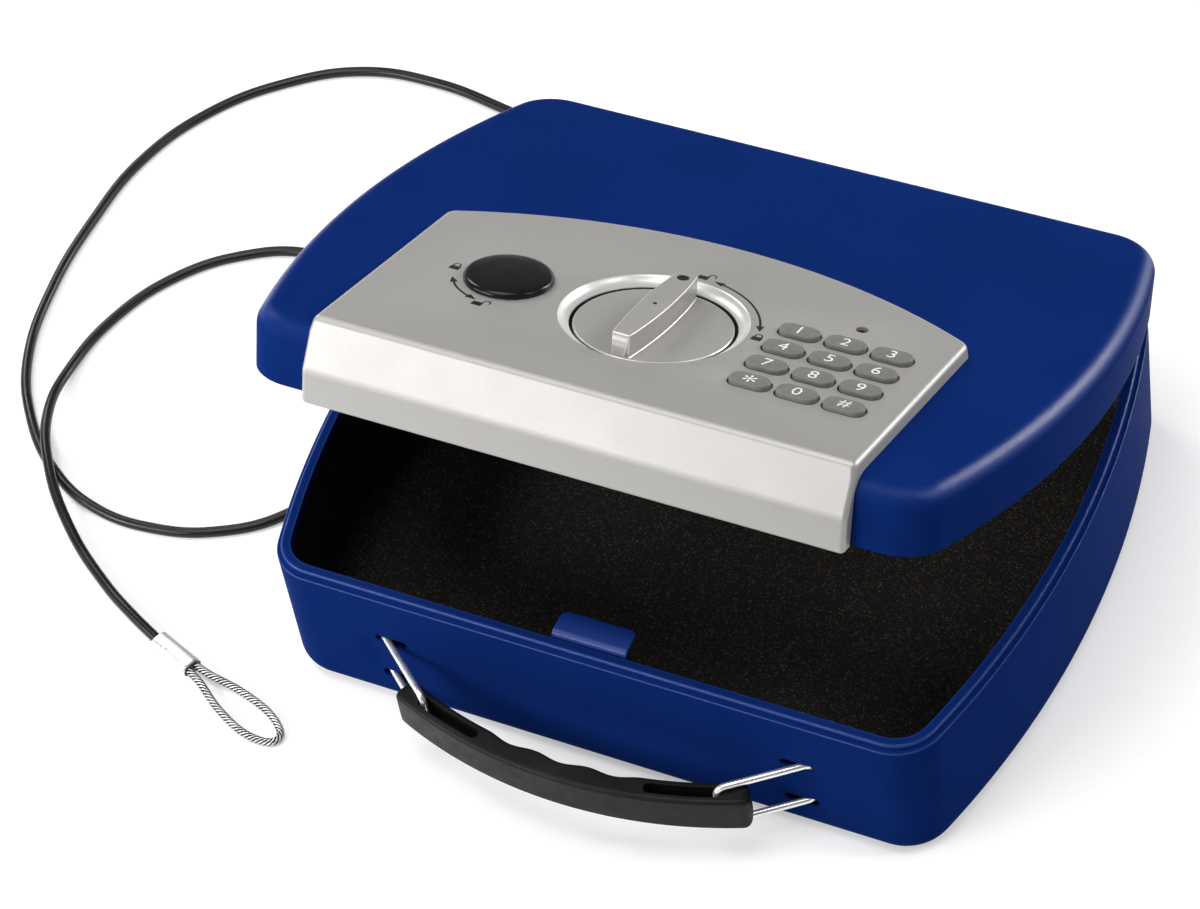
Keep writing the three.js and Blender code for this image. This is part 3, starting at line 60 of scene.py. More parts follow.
def add_object(name, data):
    """An object of its own in the scene."""
    piece = bpy.data.objects.new(name, data)
    bpy.context.scene.collection.objects.link(piece)
    return piece


camera_data = bpy.data.cameras.new("camera")
camera_data.lens = lens_mm
camera_data.sensor_width = sensor_mm
camera = add_object("camera", camera_data)
turn = Matrix((right, up, back)).transposed().to_4x4()
camera.matrix_world = Matrix.Translation(camera_target + camera_distance * back) @ turn
bpy.context.scene.camera = camera
bpy.context.scene.view_settings.view_transform = "Standard"

# Floor and light: a white floor, and soft boxes in a dim studio. One at the front left whitens the panel's
# sloping face, and a small one stands close by on the left. Those behind and on the right draw the lines
# along the lid's and the panel's edges, and one overhead lights the rest.
floor_half = 40.0
floor_data = bpy.data.meshes.new("floor")
floor_data.from_pydata(
    [(x * floor_half, y * floor_half, 0) for x, y in ((-1, -1), (1, -1), (1, 1), (-1, 1))], [], [(0, 1, 2, 3)]
)
floor = add_object("floor", floor_data)
floor_finish = bpy.data.materials.new("floor_white")
floor_finish.use_nodes = True
floor_tree = floor_finish.node_tree
floor_shader = floor_tree.nodes["Principled BSDF"]
floor_shader.inputs["Base Color"].default_value = (0.7, 0.7, 0.7, 1)
floor_shader.inputs["Roughness"].default_value = 0.9
floor_shader.inputs["Specular IOR Level"].default_value = 0.1
floor_shader.inputs["Emission Color"].default_value = (1, 1, 1, 1)
floor_glow = 0.36


def worked_out(tree, operation, *values):
    """What a sum or a comparison of sockets and numbers comes to in a finish."""
    node = tree.nodes.new("ShaderNodeMath")
    node.operation = operation
    for socket, value in zip(node.inputs, values):
        if isinstance(value, (int, float)):
            socket.default_value = value
        else:
            tree.links.new(value, socket)
    return node.outputs[0]


floor_path = floor_tree.nodes.new("ShaderNodeLightPath")
seen = floor_path.outputs["Is Camera Ray"]
for way in ("Is Glossy Ray", "Is Transmission Ray"):
    seen = worked_out(floor_tree, "MAXIMUM", seen, floor_path.outputs[way])
seen_glow = worked_out(floor_tree, "MULTIPLY", seen, floor_glow)
floor_tree.links.new(seen_glow, floor_shader.inputs["Emission Strength"])
floor_data.materials.append(floor_finish)

world = bpy.data.worlds.new("studio")
world.use_nodes = True
bpy.context.scene.world = world
world.node_tree.nodes["Background"].inputs["Color"].default_value = (1, 1, 1, 1)
world.node_tree.nodes["Background"].inputs["Strength"].default_value = 0.14


def soft_box(name, direction, distance, size, power):
    """A lamp that faces the safe. Its direction is seen from there, and its size is width and height."""
    data = bpy.data.lights.new(name, "AREA")
    data.shape = "RECTANGLE"
    data.size, data.size_y = size
    data.energy = power
    lamp = add_object(name, data)
    place = camera_target + distance * Vector(direction).normalized()
    lamp.location = place
    lamp.rotation_euler = (camera_target - place).to_track_quat("-Z", "Y").to_euler()


soft_box("front_left_box", direction=(-0.45, -0.79, 0.49), distance=1.5, size=(0.8, 0.5), power=12)
soft_box("left_box", direction=(-0.75, -0.55, 0.35), distance=0.62, size=(0.2, 0.2), power=1.1)
soft_box("right_strip", direction=(0.74, 0.18, 0.62), distance=1.5, size=(0.16, 0.7), power=4)
soft_box("back_right_box", direction=(0.57, 0.78, 0.2), distance=1.5, size=(0.4, 0.6), power=10)
soft_box("back_left_box", direction=(-0.7, 0.42, 0.55), distance=1.5, size=(0.5, 0.5), power=7)
soft_box("overhead_box", direction=(-0.05, -0.1, 1.0), distance=1.7, size=(1.2, 1.2), power=19)

# Tether cable: steel rope in black vinyl, 4 mm thick. It comes out of the back wall, runs a wide loop round
# the left side, turns back and crosses over itself, and comes forward to its ferrule.
cable_radius = 0.002
cable_z = 0.0022
cable_over_z = 0.0065
ferrule_z = 0.0034
grain_low = 0.3
grain_high = 0.7
cable_route = [
    (-0.095, 0.11035, 0.014),
    (-0.0955, 0.120, 0.013),
    (-0.098, 0.132, 0.0085),
    (-0.106, 0.144, 0.004),
    (-0.120, 0.153, cable_z),
    (-0.146, 0.163, cable_z),
    (-0.174, 0.1695, cable_z),
    (-0.208, 0.1745, cable_z),
    (-0.240, 0.171, cable_z),
    (-0.267, 0.155, cable_z),
    (-0.289, 0.130, cable_z),
    (-0.302, 0.097, cable_z),
    (-0.304, 0.062, cable_z),
    (-0.301, 0.025, cable_z),
    (-0.291, -0.011, cable_z),
    (-0.275, -0.036, cable_z),
    (-0.252, -0.057, cable_z),
    (-0.228, -0.068, cable_z),
    (-0.203, -0.0695, cable_z),
    (-0.178, -0.0625, cable_z),
    (-0.158, -0.047, cable_z),
    (-0.1475, -0.024, cable_z),
    (-0.1455, 0.004, cable_z),
    (-0.151, 0.032, cable_z),
    (-0.166, 0.056, cable_z),
    (-0.189, 0.0705, cable_z),
    (-0.214, 0.0735, cable_z),
    (-0.238, 0.0635, cable_z),
    (-0.257, 0.045, cable_z),
    (-0.269, 0.019, cable_z),
    (-0.272, -0.010, 0.0029),
    (-0.266, -0.036, cable_over_z),
    (-0.252, -0.059, cable_over_z),
    (-0.231, -0.0805, 0.0037),
    (-0.205, -0.099, 0.0028),
    (-0.188, -0.1085, ferrule_z),
    (-0.1734, -0.1154, ferrule_z),
]


def finish(name, colour, roughness, metallic=0.0, specular=0.5):
    """A material with one shader, and the helpers below add its grain and its lighter and darker marks, some
    of them painted highlight and shade.
    """
    material = bpy.data.materials.new(name)
    material.use_nodes = True
    shader = material.node_tree.nodes["Principled BSDF"]
    shader.inputs["Base Color"].default_value = (*colour, 1)
    shader.inputs["Roughness"].default_value = roughness
    shader.inputs["Metallic"].default_value = metallic
    shader.inputs["Specular IOR Level"].default_value = specular
    return material


def noise(material, size, detail=3.0, stretch=(1, 1, 1)):
    """A noise of a grain size in metres, in the object's own space."""
    tree = material.node_tree
    place = tree.nodes.new("ShaderNodeTexCoord")
    mapping = tree.nodes.new("ShaderNodeMapping")
    mapping.inputs["Scale"].default_value = stretch
    texture = tree.nodes.new("ShaderNodeTexNoise")
    texture.inputs["Scale"].default_value = 1 / size
    texture.inputs["Detail"].default_value = detail
    tree.links.new(place.outputs["Object"], mapping.inputs["Vector"])
    tree.links.new(mapping.outputs["Vector"], texture.inputs["Vector"])
    return texture.outputs["Fac"]


def bump(material, height, strength, depth, normal="Normal"):
    """Relief from a height, chained after any relief that is there."""
    tree = material.node_tree
    shader = tree.nodes["Principled BSDF"]
    node = tree.nodes.new("ShaderNodeBump")
    node.inputs["Strength"].default_value = strength
    node.inputs["Distance"].default_value = depth
    if shader.inputs[normal].is_linked:
        tree.links.new(shader.inputs[normal].links[0].from_socket, node.inputs["Normal"])
    tree.links.new(height, node.inputs["Height"])
    tree.links.new(node.outputs["Normal"], shader.inputs[normal])


def spread(material, factor, start, end, low, high):
    """What runs from low to high while a factor runs from a start to an end."""
    tree = material.node_tree
    span = tree.nodes.new("ShaderNodeMapRange")
    for name, value in (("From Min", start), ("From Max", end), ("To Min", low), ("To Max", high)):
        span.inputs[name].default_value = value
    tree.links.new(factor, span.inputs["Value"])
    return span.outputs["Result"]


def vary_roughness(material, factor, low, high):
    """The roughness runs between two values with a factor."""
    wanted = spread(material, factor, grain_low, grain_high, low, high)
    material.node_tree.links.new(wanted, material.node_tree.nodes["Principled BSDF"].inputs["Roughness"])


def vary_colour(material, factor, dark, light, low=grain_low, high=grain_high):
    """The base colour runs between two colours with a factor."""
    tree = material.node_tree
    ramp = tree.nodes.new("ShaderNodeValToRGB")
    ramp.color_ramp.elements[0].position = low
    ramp.color_ramp.elements[0].color = (*dark, 1)
    ramp.color_ramp.elements[1].position = high
    ramp.color_ramp.elements[1].color = (*light, 1)
    tree.links.new(factor, ramp.inputs["Fac"])
    tree.links.new(ramp.outputs["Color"], tree.nodes["Principled BSDF"].inputs["Base Color"])


def grained(
    name, colours, colour_grain, roughness, roughness_grain, metallic=0.0, specular=0.5,
    colour_range=(grain_low, grain_high),
):
    """A finish whose colour and roughness wander between two values, each by its own noise."""
    dark, light = colours
    middle = [(low + high) / 2 for low, high in zip(dark, light)]
    material = finish(name, middle, sum(roughness) / 2, metallic, specular)
    vary_colour(material, noise(material, **colour_grain), dark, light, *colour_range)
    vary_roughness(material, noise(material, **roughness_grain), *roughness)
    return material


cable_vinyl = grained(
    "cable_vinyl",
    colours=((0.008, 0.008, 0.008), (0.013, 0.013, 0.0125)), colour_grain=dict(size=0.03),
    roughness=(0.24, 0.38), roughness_grain=dict(size=0.012), specular=0.3,
)
bump(cable_vinyl, noise(cable_vinyl, size=0.0012), strength=0.12, depth=0.0002)

cable_data = bpy.data.curves.new("vinyl_cable", "CURVE")
cable_data.dimensions = "3D"
cable_data.bevel_depth = cable_radius
cable_data.bevel_resolution = 5
cable_data.use_fill_caps = True
cable_data.resolution_u = 10
spline = cable_data.splines.new("BEZIER")
spline.bezier_points.add(len(cable_route) - 1)
for point, place in zip(spline.bezier_points, cable_route):
    point.co = place
    point.handle_left_type = point.handle_right_type = "AUTO"
cable_data.materials.append(cable_vinyl)
cable = add_object("vinyl_cable", cable_data)
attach(cable, "base")
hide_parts("tether_cable")

# Ferrule: an oval aluminium sleeve, pressed flat over the rope where it turns back on itself. Its ends are
# sawn square, and the press leaves a flat on each broad side.
ferrule_start = Vector((*cable_route[-1][:2], 0))
ferrule_way = Vector((0.934, -0.357, 0)).normalized()
ferrule_side = Vector((-ferrule_way.y, ferrule_way.x, 0))
ferrule_length = 0.0195
ferrule_gap = 0.0003
ferrule_half_width = 0.0043
ferrule_half_height = 0.0033
ferrule_rim = 0.0005
ferrule_waist_share = 0.1
ferrule_waist_narrowness = 8
square_on = 0.9


def along_ferrule(forward, sideways, height):
    """A place measured from the cable's end: forward, sideways and up from the floor."""
    return ferrule_start + forward * ferrule_way + sideways * ferrule_side + Vector((0, 0, height))


def loft(rings):
    """Points and faces of a skin over rings of equally many points, with its two ends filled."""
    count = len(rings[0])
    points = [tuple(point) for ring in rings for point in ring]
    faces = []
    for level in range(len(rings) - 1):
        for i in range(count):
            a = level * count + i
            b = level * count + (i + 1) % count
            faces.append((a, b, b + count, a + count))
    faces.append(tuple(reversed(range(count))))
    faces.append(tuple(range(len(points) - count, len(points))))
    return points, faces


def make_mesh(name, points, faces, material, sharp=35):
    """A smooth-shaded object whose edges stay sharp where they turn by more than an angle in degrees."""
    mesh = bpy.data.meshes.new(name)
    mesh.from_pydata(points, [], faces)
    mesh.materials.append(material)
    skin = bmesh.new()
    skin.from_mesh(mesh)
    bmesh.ops.recalc_face_normals(skin, faces=skin.faces)
    skin.to_mesh(mesh)
    skin.free()
    mesh.shade_smooth()
    mesh.set_sharp_from_angle(angle=math.radians(sharp))
    return add_object(name, mesh)


def place_piece(piece, body, slot, *stands_for):
    """The piece rides on a body and stands for the named solids. The slot is not used."""
    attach(piece, body)
    if stands_for:
        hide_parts(*stands_for)


def ferrule_ring(forward, shrink):
    """The pressed oval's outline: two round lobes with a shallow waist between them."""
    ring = []
    steps = 48
    for i in range(steps):
        angle = 2 * math.pi * i / steps
        waist = 1 - ferrule_waist_share * math.sin(angle) ** ferrule_waist_narrowness
        sideways = (ferrule_half_width - shrink) * math.cos(angle)
        height = (ferrule_half_height - shrink) * math.sin(angle) * waist
        ring.append(along_ferrule(forward, sideways, ferrule_z + height))
    return ring


def turn_colour(material, factor, colour):
    """The base colour that is there turns towards another one with a factor."""
    tree = material.node_tree
    mix = tree.nodes.new("ShaderNodeMix")
    mix.data_type = "RGBA"
    base = tree.nodes["Principled BSDF"].inputs["Base Color"]
    tree.links.new(base.links[0].from_socket, mix.inputs["A"])
    mix.inputs["B"].default_value = (*colour, 1)
    tree.links.new(factor, mix.inputs["Factor"])
    tree.links.new(mix.outputs["Result"], base)


def lighten_sharp_edges(material, colour, amount, start=0.52, end=0.6):
    """Sharp outer edges turn towards another colour."""
    shape = material.node_tree.nodes.new("ShaderNodeNewGeometry")
    turn_colour(material, spread(material, shape.outputs["Pointiness"], start, end, 0, amount), colour)


ferrule_aluminium = grained(
    "ferrule_aluminium",
    colours=((0.86, 0.86, 0.85), (0.93, 0.93, 0.92)), colour_grain=dict(size=0.004),
    roughness=(0.26, 0.44), roughness_grain=dict(size=0.0015, stretch=(1, 1, 4)), metallic=0.75,
)
bump(ferrule_aluminium, noise(ferrule_aluminium, size=0.0006), strength=0.12, depth=0.00006)
lighten_sharp_edges(ferrule_aluminium, (0.9, 0.9, 0.9), 0.5)

ferrule_end = ferrule_gap + ferrule_length
ferrule_rings = [
    ferrule_ring(ferrule_gap, 2 * ferrule_rim),
    ferrule_ring(ferrule_gap, ferrule_rim),
    ferrule_ring(ferrule_gap + ferrule_rim, 0),
    ferrule_ring(ferrule_end - ferrule_rim, 0),
    ferrule_ring(ferrule_end, ferrule_rim),
    ferrule_ring(ferrule_end, 2 * ferrule_rim),
]
ferrule = make_mesh("pressed_ferrule", *loft(ferrule_rings), ferrule_aluminium)
# The end faces take a darker, rougher aluminium.
end_face_aluminium = grained(
    "end_face_aluminium",
    colours=((0.08, 0.08, 0.075), (0.24, 0.24, 0.235)), colour_grain=dict(size=0.0006),
    roughness=(0.5, 0.7), roughness_grain=dict(size=0.0004), metallic=0.6,
)
ferrule.data.materials.append(end_face_aluminium)
for face in ferrule.data.polygons:
    if abs(face.normal.dot(ferrule_way)) > square_on:
        face.material_index = 1
place_piece(ferrule, "base", "ferrule_aluminium", "cable_ferrule")

# Rope loop: bare galvanised rope, six strands laid round a core. It leaves the ferrule's end, makes an eye
# that drops over the post in the tub, and goes back into the ferrule.
rope_radius = 0.0015
rope_lay = 0.0095
groove_shade_line = 0.95
groove_shade_fade = 0.4
loop_length = 0.046
loop_half_width = 0.006
loop_start = ferrule_length + 2 * ferrule_gap
loop_lift = 0.0001
loop_low = rope_radius + loop_lift
loop_length_shares = [0, 0.16, 0.42, 0.72, 0.93, 1, 0.93, 0.72, 0.42, 0.16, 0]
loop_width_shares = [0.27, 0.42, 0.86, 1, 0.62, 0, -0.62, -1, -0.86, -0.42, -0.27]
loop_rise_shares = [1, 0.8, 0.3, 0, 0, 0, 0, 0, 0.3, 0.8, 1]
loop_points = []
for far, wide, rise in zip(loop_length_shares, loop_width_shares, loop_rise_shares):
    height = loop_low + rise * (ferrule_z - loop_low)
    loop_points.append(along_ferrule(loop_start + far * loop_length, wide * loop_half_width, height))


def smooth_path(points, steps):
    """Places along a curve through points, evenly enough for a rope's lay."""
    ends = [2 * points[0] - points[1], *points, 2 * points[-1] - points[-2]]
    places = []
    for i in range(len(points) - 1):
        a, b, c, d = ends[i:i + 4]
        for step in range(steps):
            t = step / steps
            bend = (2 * a - 5 * b + 4 * c - d) * t ** 2
            twist = (3 * b - a - 3 * c + d) * t ** 3
            places.append((2 * b + (c - a) * t + bend + twist) / 2)
    return [*places, points[-1]]


def tube_rings(path, radius, sides, offset=None, across=None):
    """Rings of a tube along a path. An offset moves each ring. Across is square to a flat path's plane."""
    rings = []
    run = 0.0
    for i, place in enumerate(path):
        if i:
            run += (place - path[i - 1]).length
        way = (path[min(i + 1, len(path) - 1)] - path[max(i - 1, 0)]).normalized()
        level = across or way.cross(Vector((0, 0, 1))).normalized()
        rise = level.cross(way)
        shift = offset(run, level, rise) if offset else Vector()
        rings.append([
            place + shift + radius * (math.cos(angle) * level + math.sin(angle) * rise)
            for angle in (2 * math.pi * k / sides for k in range(sides))
        ])
    return rings


def joined(skins):
    """One list of points and faces from several."""
    points, faces = [], []
    for some_points, some_faces in skins:
        start = len(points)
        points.extend(some_points)
        faces.extend(tuple(start + i for i in face) for face in some_faces)
    return points, faces


def mark_points(piece, name, shares):
    """A share from 0 to 1 at each point of a piece, which its finish reads by name."""
    layer = piece.data.attributes.new(name, "FLOAT", "POINT")
    layer.data.foreach_set("value", shares)


def marked(material, name):
    """The share that the points of a piece are marked with."""
    mark = material.node_tree.nodes.new("ShaderNodeAttribute")
    mark.attribute_name = name
    return mark.outputs["Fac"]


rope_steel = grained(
    "rope_steel",
    colours=((0.48, 0.48, 0.46), (0.8, 0.8, 0.79)), colour_grain=dict(size=0.004),
    roughness=(0.24, 0.42), roughness_grain=dict(size=0.002), metallic=0.95,
)
# The strands' colour turns nearly black where they meet and on the hidden core: painted shade in the grooves.
turn_colour(rope_steel, marked(rope_steel, "groove"), (0.012, 0.011, 0.01))
bump(rope_steel, noise(rope_steel, size=0.0003, stretch=(1, 1, 3)), strength=0.4, depth=0.0001)

strand_count = 6
strand_radius = rope_radius / 3
strand_sides = 12
strand_path = smooth_path(loop_points, 24)
strand_skins = [loft(tube_rings(strand_path, strand_radius, strand_sides))]
# The core is marked dark all over, and each strand towards the strands beside it: painted shade.
groove_shade_shares = [1.0] * len(strand_skins[0][0])
for strand in range(strand_count):
    start_angle = 2 * math.pi * strand / strand_count

    def strand_offset(run, level, rise):
        """How far the strand's middle lies from the rope's, one turn round it in each lay."""
        angle = start_angle + 2 * math.pi * run / rope_lay
        return 2 * strand_radius * (math.cos(angle) * level + math.sin(angle) * rise)

    strand_rings = tube_rings(strand_path, strand_radius, strand_sides, strand_offset)
    strand_skins.append(loft(strand_rings))
    for ring, middle in zip(strand_rings, strand_path):
        for point in ring:
            out = (point - middle).length / strand_radius - 2
            groove_shade_shares.append(min(max(groove_shade_line - out, 0) / groove_shade_fade, 1))
rope_loop = make_mesh("bare_rope_loop", *joined(strand_skins), rope_steel, sharp=80)
mark_points(rope_loop, "groove", groove_shade_shares)
place_piece(rope_loop, "base", "wire_rope", "cable_end_loop")

# Tub: steel sheet drawn deep, with a stepped rim whose lip takes the lid. The edge of the sheet is folded
# in under the lip. All of it is coated with textured blue powder.
depth = 0.2155
front_half_width = 0.120
back_half_width = 0.121
side_bulge = 0.0167
front_corner = 0.0176
back_corner = 0.0197
sheet = 0.0012
tub_height = 0.0561
tub_edge_radius = 0.008
lip_inset = 0.00165
lip_height = 0.0023
lip_width = 0.0038
hem_depth = 0.0035
shoulder_round = 0.0005
least_corner = 0.001
front_y = -depth / 2
back_y = depth / 2

chord = math.hypot(back_half_width - front_half_width, depth)
side_radius = (chord ** 2 / 4 + side_bulge ** 2) / (2 * side_bulge)
side_centre = Vector((
    (front_half_width + back_half_width) / 2 - depth / chord * (side_radius - side_bulge),
    (back_half_width - front_half_width) / chord * (side_radius - side_bulge),
))


def arc(centre, radius, start, end, steps):
    """Places along an arc between two angles."""
    return [
        Vector((centre[0] + radius * math.cos(angle), centre[1] + radius * math.sin(angle)))
        for angle in (start + (end - start) * i / steps for i in range(steps + 1))
    ]


def plan_ring(inset, height, front_steps=2):
    """The outline of tub, lid and liner seen from above, moved in by an inset, anticlockwise."""
    radius = side_radius - inset
    front = max(front_corner - inset, least_corner)
    rear = max(back_corner - inset, least_corner)
    front_at = front_y + inset + front
    rear_at = back_y - inset - rear
    front_x = side_centre.x + math.sqrt((radius - front) ** 2 - (front_at - side_centre.y) ** 2)
    rear_x = side_centre.x + math.sqrt((radius - rear) ** 2 - (rear_at - side_centre.y) ** 2)
    front_turn = math.atan2(front_at - side_centre.y, front_x - side_centre.x)
    rear_turn = math.atan2(rear_at - side_centre.y, rear_x - side_centre.x)
    half = [
        *arc((front_x, front_at), front, -math.pi / 2, front_turn, 12),
        *arc(side_centre, radius, front_turn, rear_turn, 40)[1:],
        *arc((rear_x, rear_at), rear, rear_turn, math.pi / 2, 12)[1:],
    ]
    front_line = [
        Vector((-front_x + 2 * front_x * i / front_steps, front_y + inset)) for i in range(1, front_steps)
    ]
    other = [Vector((-point.x, point.y)) for point in reversed(half)]
    return [Vector((point.x, point.y, height)) for point in [*half, *other, *front_line]]


def quarter(inset, height, radius, steps, opening):
    """Levels of a rounded edge as (inset, height) pairs: from flat to upright, or upright to flat."""
    levels = []
    for i in range(steps + 1):
        angle = math.pi / 2 * i / steps
        if opening == "flat_to_upright":
            away, rise = 1 - math.sin(angle), 1 - math.cos(angle)
        else:
            away, rise = 1 - math.cos(angle), math.sin(angle) - 1
        levels.append((inset + radius * away, height + radius * rise))
    return levels


def finished_mesh(piece):
    """The mesh that Blender makes of a piece with its modifiers, or of a sign's outlines."""
    return bpy.data.meshes.new_from_object(piece.evaluated_get(bpy.context.evaluated_depsgraph_get()))


def apply_changes(piece):
    """The piece's mesh becomes what its modifiers make of it."""
    mesh = finished_mesh(piece)
    piece.modifiers.clear()
    piece.data = mesh


def cut_away(piece, cutters, operation="DIFFERENCE"):
    """Cuts solids out of a piece, and removes them."""
    for cutter in cutters:
        change = piece.modifiers.new("cut", "BOOLEAN")
        change.operation = operation
        change.object = cutter
        change.solver = "EXACT"
        bpy.context.view_layer.update()
        apply_changes(piece)
        bpy.data.objects.remove(cutter)


def even_normals(piece, sharp=35):
    """Large flat faces keep their own shading beside rounded edges."""
    piece.data.shade_smooth()
    piece.data.set_sharp_from_angle(angle=math.radians(sharp))
    change = piece.modifiers.new("normals", "WEIGHTED_NORMAL")
    change.keep_sharp = True
    apply_changes(piece)


blue_powder = grained(
    "blue_powder_coat",
    colours=((0.0033, 0.0175, 0.114), (0.004, 0.0205, 0.13)), colour_grain=dict(size=0.05),
    roughness=(0.3, 0.44), roughness_grain=dict(size=0.0011),
)
bump(blue_powder, noise(blue_powder, size=0.0005), strength=0.35, depth=0.00012)
blue_shader = blue_powder.node_tree.nodes["Principled BSDF"]
blue_shader.inputs["IOR"].default_value = 1.02
blue_shader.inputs["Specular Tint"].default_value = (0.5, 0.7, 1, 1)
blue_shader.inputs["Coat Roughness"].default_value = 0.24
blue_shader.inputs["Coat IOR"].default_value = 1.5
# Rolled edges marked on the pieces get a glossier coat, and their blue is painted lighter there: painted
# highlight.
edge_coat_share = 0.65
gloss_and_highlight_share = marked(blue_powder, "gloss_and_highlight")
turn_colour(blue_powder, gloss_and_highlight_share, (0.012, 0.037, 0.2))
edge_coat_gloss = worked_out(blue_powder.node_tree, "MULTIPLY", gloss_and_highlight_share, edge_coat_share)
blue_powder.node_tree.links.new(edge_coat_gloss, blue_shader.inputs["Coat Weight"])
bump(blue_powder, noise(blue_powder, size=0.0006), strength=0.85, depth=0.0002, normal="Coat Normal")

dimple_x = 0.0835
dimple_z = 0.025
dimple_half_width = 0.0085
dimple_half_height = 0.0145
dimple_depth = 0.0012
bail_holes_z = (0.0345, 0.0155)
bail_pivot_x = 0.081
wire_radius = 0.00125
wire_room = 0.0006
slot_reach = 0.0102


def dimple(x, z):
    """How far the front wall is pressed in at a place, beside the holes for the handle's wires."""
    away = ((abs(x) - dimple_x) / dimple_half_width) ** 2 + ((z - dimple_z) / dimple_half_height) ** 2
    return dimple_depth * max(0.0, 1 - away) ** 2


def slot_cutter(x0, x1, z, radius, y0, y1):
    """A round-ended slot's solid, running along Y."""
    right_end = arc((x1, z), radius, -math.pi / 2, math.pi / 2, 12)
    left_end = arc((x0, z), radius, math.pi / 2, 3 * math.pi / 2, 12)
    outline = [*right_end, *left_end]
    rings = [[Vector((point.x, y, point.y)) for point in outline] for y in (y1, y0)]
    return make_mesh("slot_cutter", *loft(rings), blue_powder)


rim_top = tub_height + lip_height
rim_inner = lip_inset + lip_width
wall_steps = 26
wall_rise = tub_height - shoulder_round - tub_edge_radius
wall_heights = [tub_edge_radius + wall_rise * i / wall_steps for i in range(1, wall_steps)]
shoulder_steps = 4
tub_levels = [
    *quarter(0, 0, tub_edge_radius, 8, "flat_to_upright"),
    *[(0, height) for height in wall_heights],
    *quarter(0, tub_height, shoulder_round, shoulder_steps, "upright_to_flat"),
    (lip_inset - shoulder_round, tub_height),
    (lip_inset - shoulder_round / 3, tub_height + shoulder_round / 3),
    (lip_inset, tub_height + shoulder_round),
    *quarter(lip_inset, rim_top, 2 * shoulder_round, shoulder_steps, "upright_to_flat"),
    (rim_inner - 2 * shoulder_round, rim_top),
    (rim_inner - shoulder_round / 2, rim_top - shoulder_round / 2),
    (rim_inner, rim_top - 2 * shoulder_round),
    (rim_inner, rim_top - hem_depth + shoulder_round),
    (rim_inner + shoulder_round / 2, rim_top - hem_depth),
    (sheet, rim_top - hem_depth),
    *reversed(quarter(sheet, sheet, tub_edge_radius - sheet, 8, "flat_to_upright")),
]
tub_rings = [plan_ring(inset, height, front_steps=110) for inset, height in tub_levels]
for ring in tub_rings:
    for point in ring:
        if point.y < front_y + sheet / 2:
            point.y += dimple(point.x, point.z)
tub = make_mesh("drawn_tub", *loft(tub_rings), blue_powder)


def rolled_edge_highlight_share(height, top, radius):
    """How strongly a rolled edge gets the glossier coat and the painted highlight at a height: most in its
    middle, and not where it meets the flats.
    """
    rise = min(max((height - top + radius) / radius, 0), 1)
    return math.sin(2 * math.asin(rise)) ** 2


# The shoulder's and the lip's rolled rims are marked for the glossier coat and the painted highlight.
mark_points(tub, "gloss_and_highlight", [
    max(rolled_edge_highlight_share(point.z, tub_height, shoulder_round), rolled_edge_highlight_share(point.z, rim_top, 2 * shoulder_round))
    for ring in tub_rings
    for point in ring
])
overrun = 0.002
cutters = []
through_front = (front_y - overrun, front_y + sheet + overrun)
for side in (-1, 1):
    for height in bail_holes_z:
        ends = sorted((side * (bail_pivot_x - slot_reach + wire_radius), side * bail_pivot_x))
        cutters.append(slot_cutter(*ends, height, wire_radius + wire_room, *through_front))
cable_exit = Vector(cable_route[0])
grommet_radius = 0.0036
grommet_room = 0.0001
through_back = (back_y - sheet - overrun, back_y + overrun)
cutters.append(
    slot_cutter(cable_exit.x, cable_exit.x, cable_exit.z, grommet_radius + grommet_room, *through_back)
)
notch_x = -0.084
notch_half = 0.00275
notch_depth = 0.0046
notch_z = rim_top - notch_depth + notch_half
through_rim = (back_y - rim_inner - overrun, back_y + overrun)
cutters.append(slot_cutter(notch_x, notch_x, notch_z, notch_half, *through_rim))
cut_away(tub, cutters)
even_normals(tub)
place_piece(tub, "base", "blue_powder_coat", "base_tub")

# Liner: black closed-cell foam, moulded as a tray and glued into the tub. The cells at its face catch the
# light as fine specks.
liner_inset = 0.0015
liner_floor = 0.0045
liner_gap = 0.0003
liner_bevel = 0.0006
liner_hollow_radius = 0.0053
liner_top = rim_top - hem_depth - liner_gap
keeper_room_half = 0.0143
keeper_room_back = -0.0856
bail_room_inward = 0.012
bail_room_outward = 0.0015
bail_room_radius = 0.0138
bail_room_depth = 0.0046
foam_black = finish("foam_black", colour=(0.012, 0.011, 0.01), roughness=0.8, specular=0.3)
foam_cells = noise(foam_black, size=0.0008, detail=2.0)
foam_specks = noise(foam_black, size=0.0007, detail=6.0)
vary_colour(foam_black, foam_specks, (0.0125, 0.011, 0.0095), (0.12, 0.1, 0.075), low=0.56, high=0.7)
bump(foam_black, foam_cells, strength=0.9, depth=0.0005)
bump(foam_black, noise(foam_black, size=0.004), strength=0.25, depth=0.0006)
liner_levels = [
    *quarter(liner_inset, liner_inset, tub_edge_radius - sheet, 6, "flat_to_upright"),
    (liner_inset, liner_top),
    (rim_inner - liner_bevel, liner_top),
    (rim_inner, liner_top - liner_bevel),
    *reversed(quarter(rim_inner, liner_floor, liner_hollow_radius, 6, "flat_to_upright")),
]
liner_rings = [plan_ring(inset, height) for inset, height in liner_levels]
liner = make_mesh("foam_liner", *loft(liner_rings), foam_black)


def block_cutter(low, high):
    """A plain block's solid between two corners."""
    corners = ((low[0], low[1]), (high[0], low[1]), (high[0], high[1]), (low[0], high[1]))
    rings = [[Vector((x, y, z)) for x, y in corners] for z in (low[2], high[2])]
    return make_mesh("block_cutter", *loft(rings), foam_black)


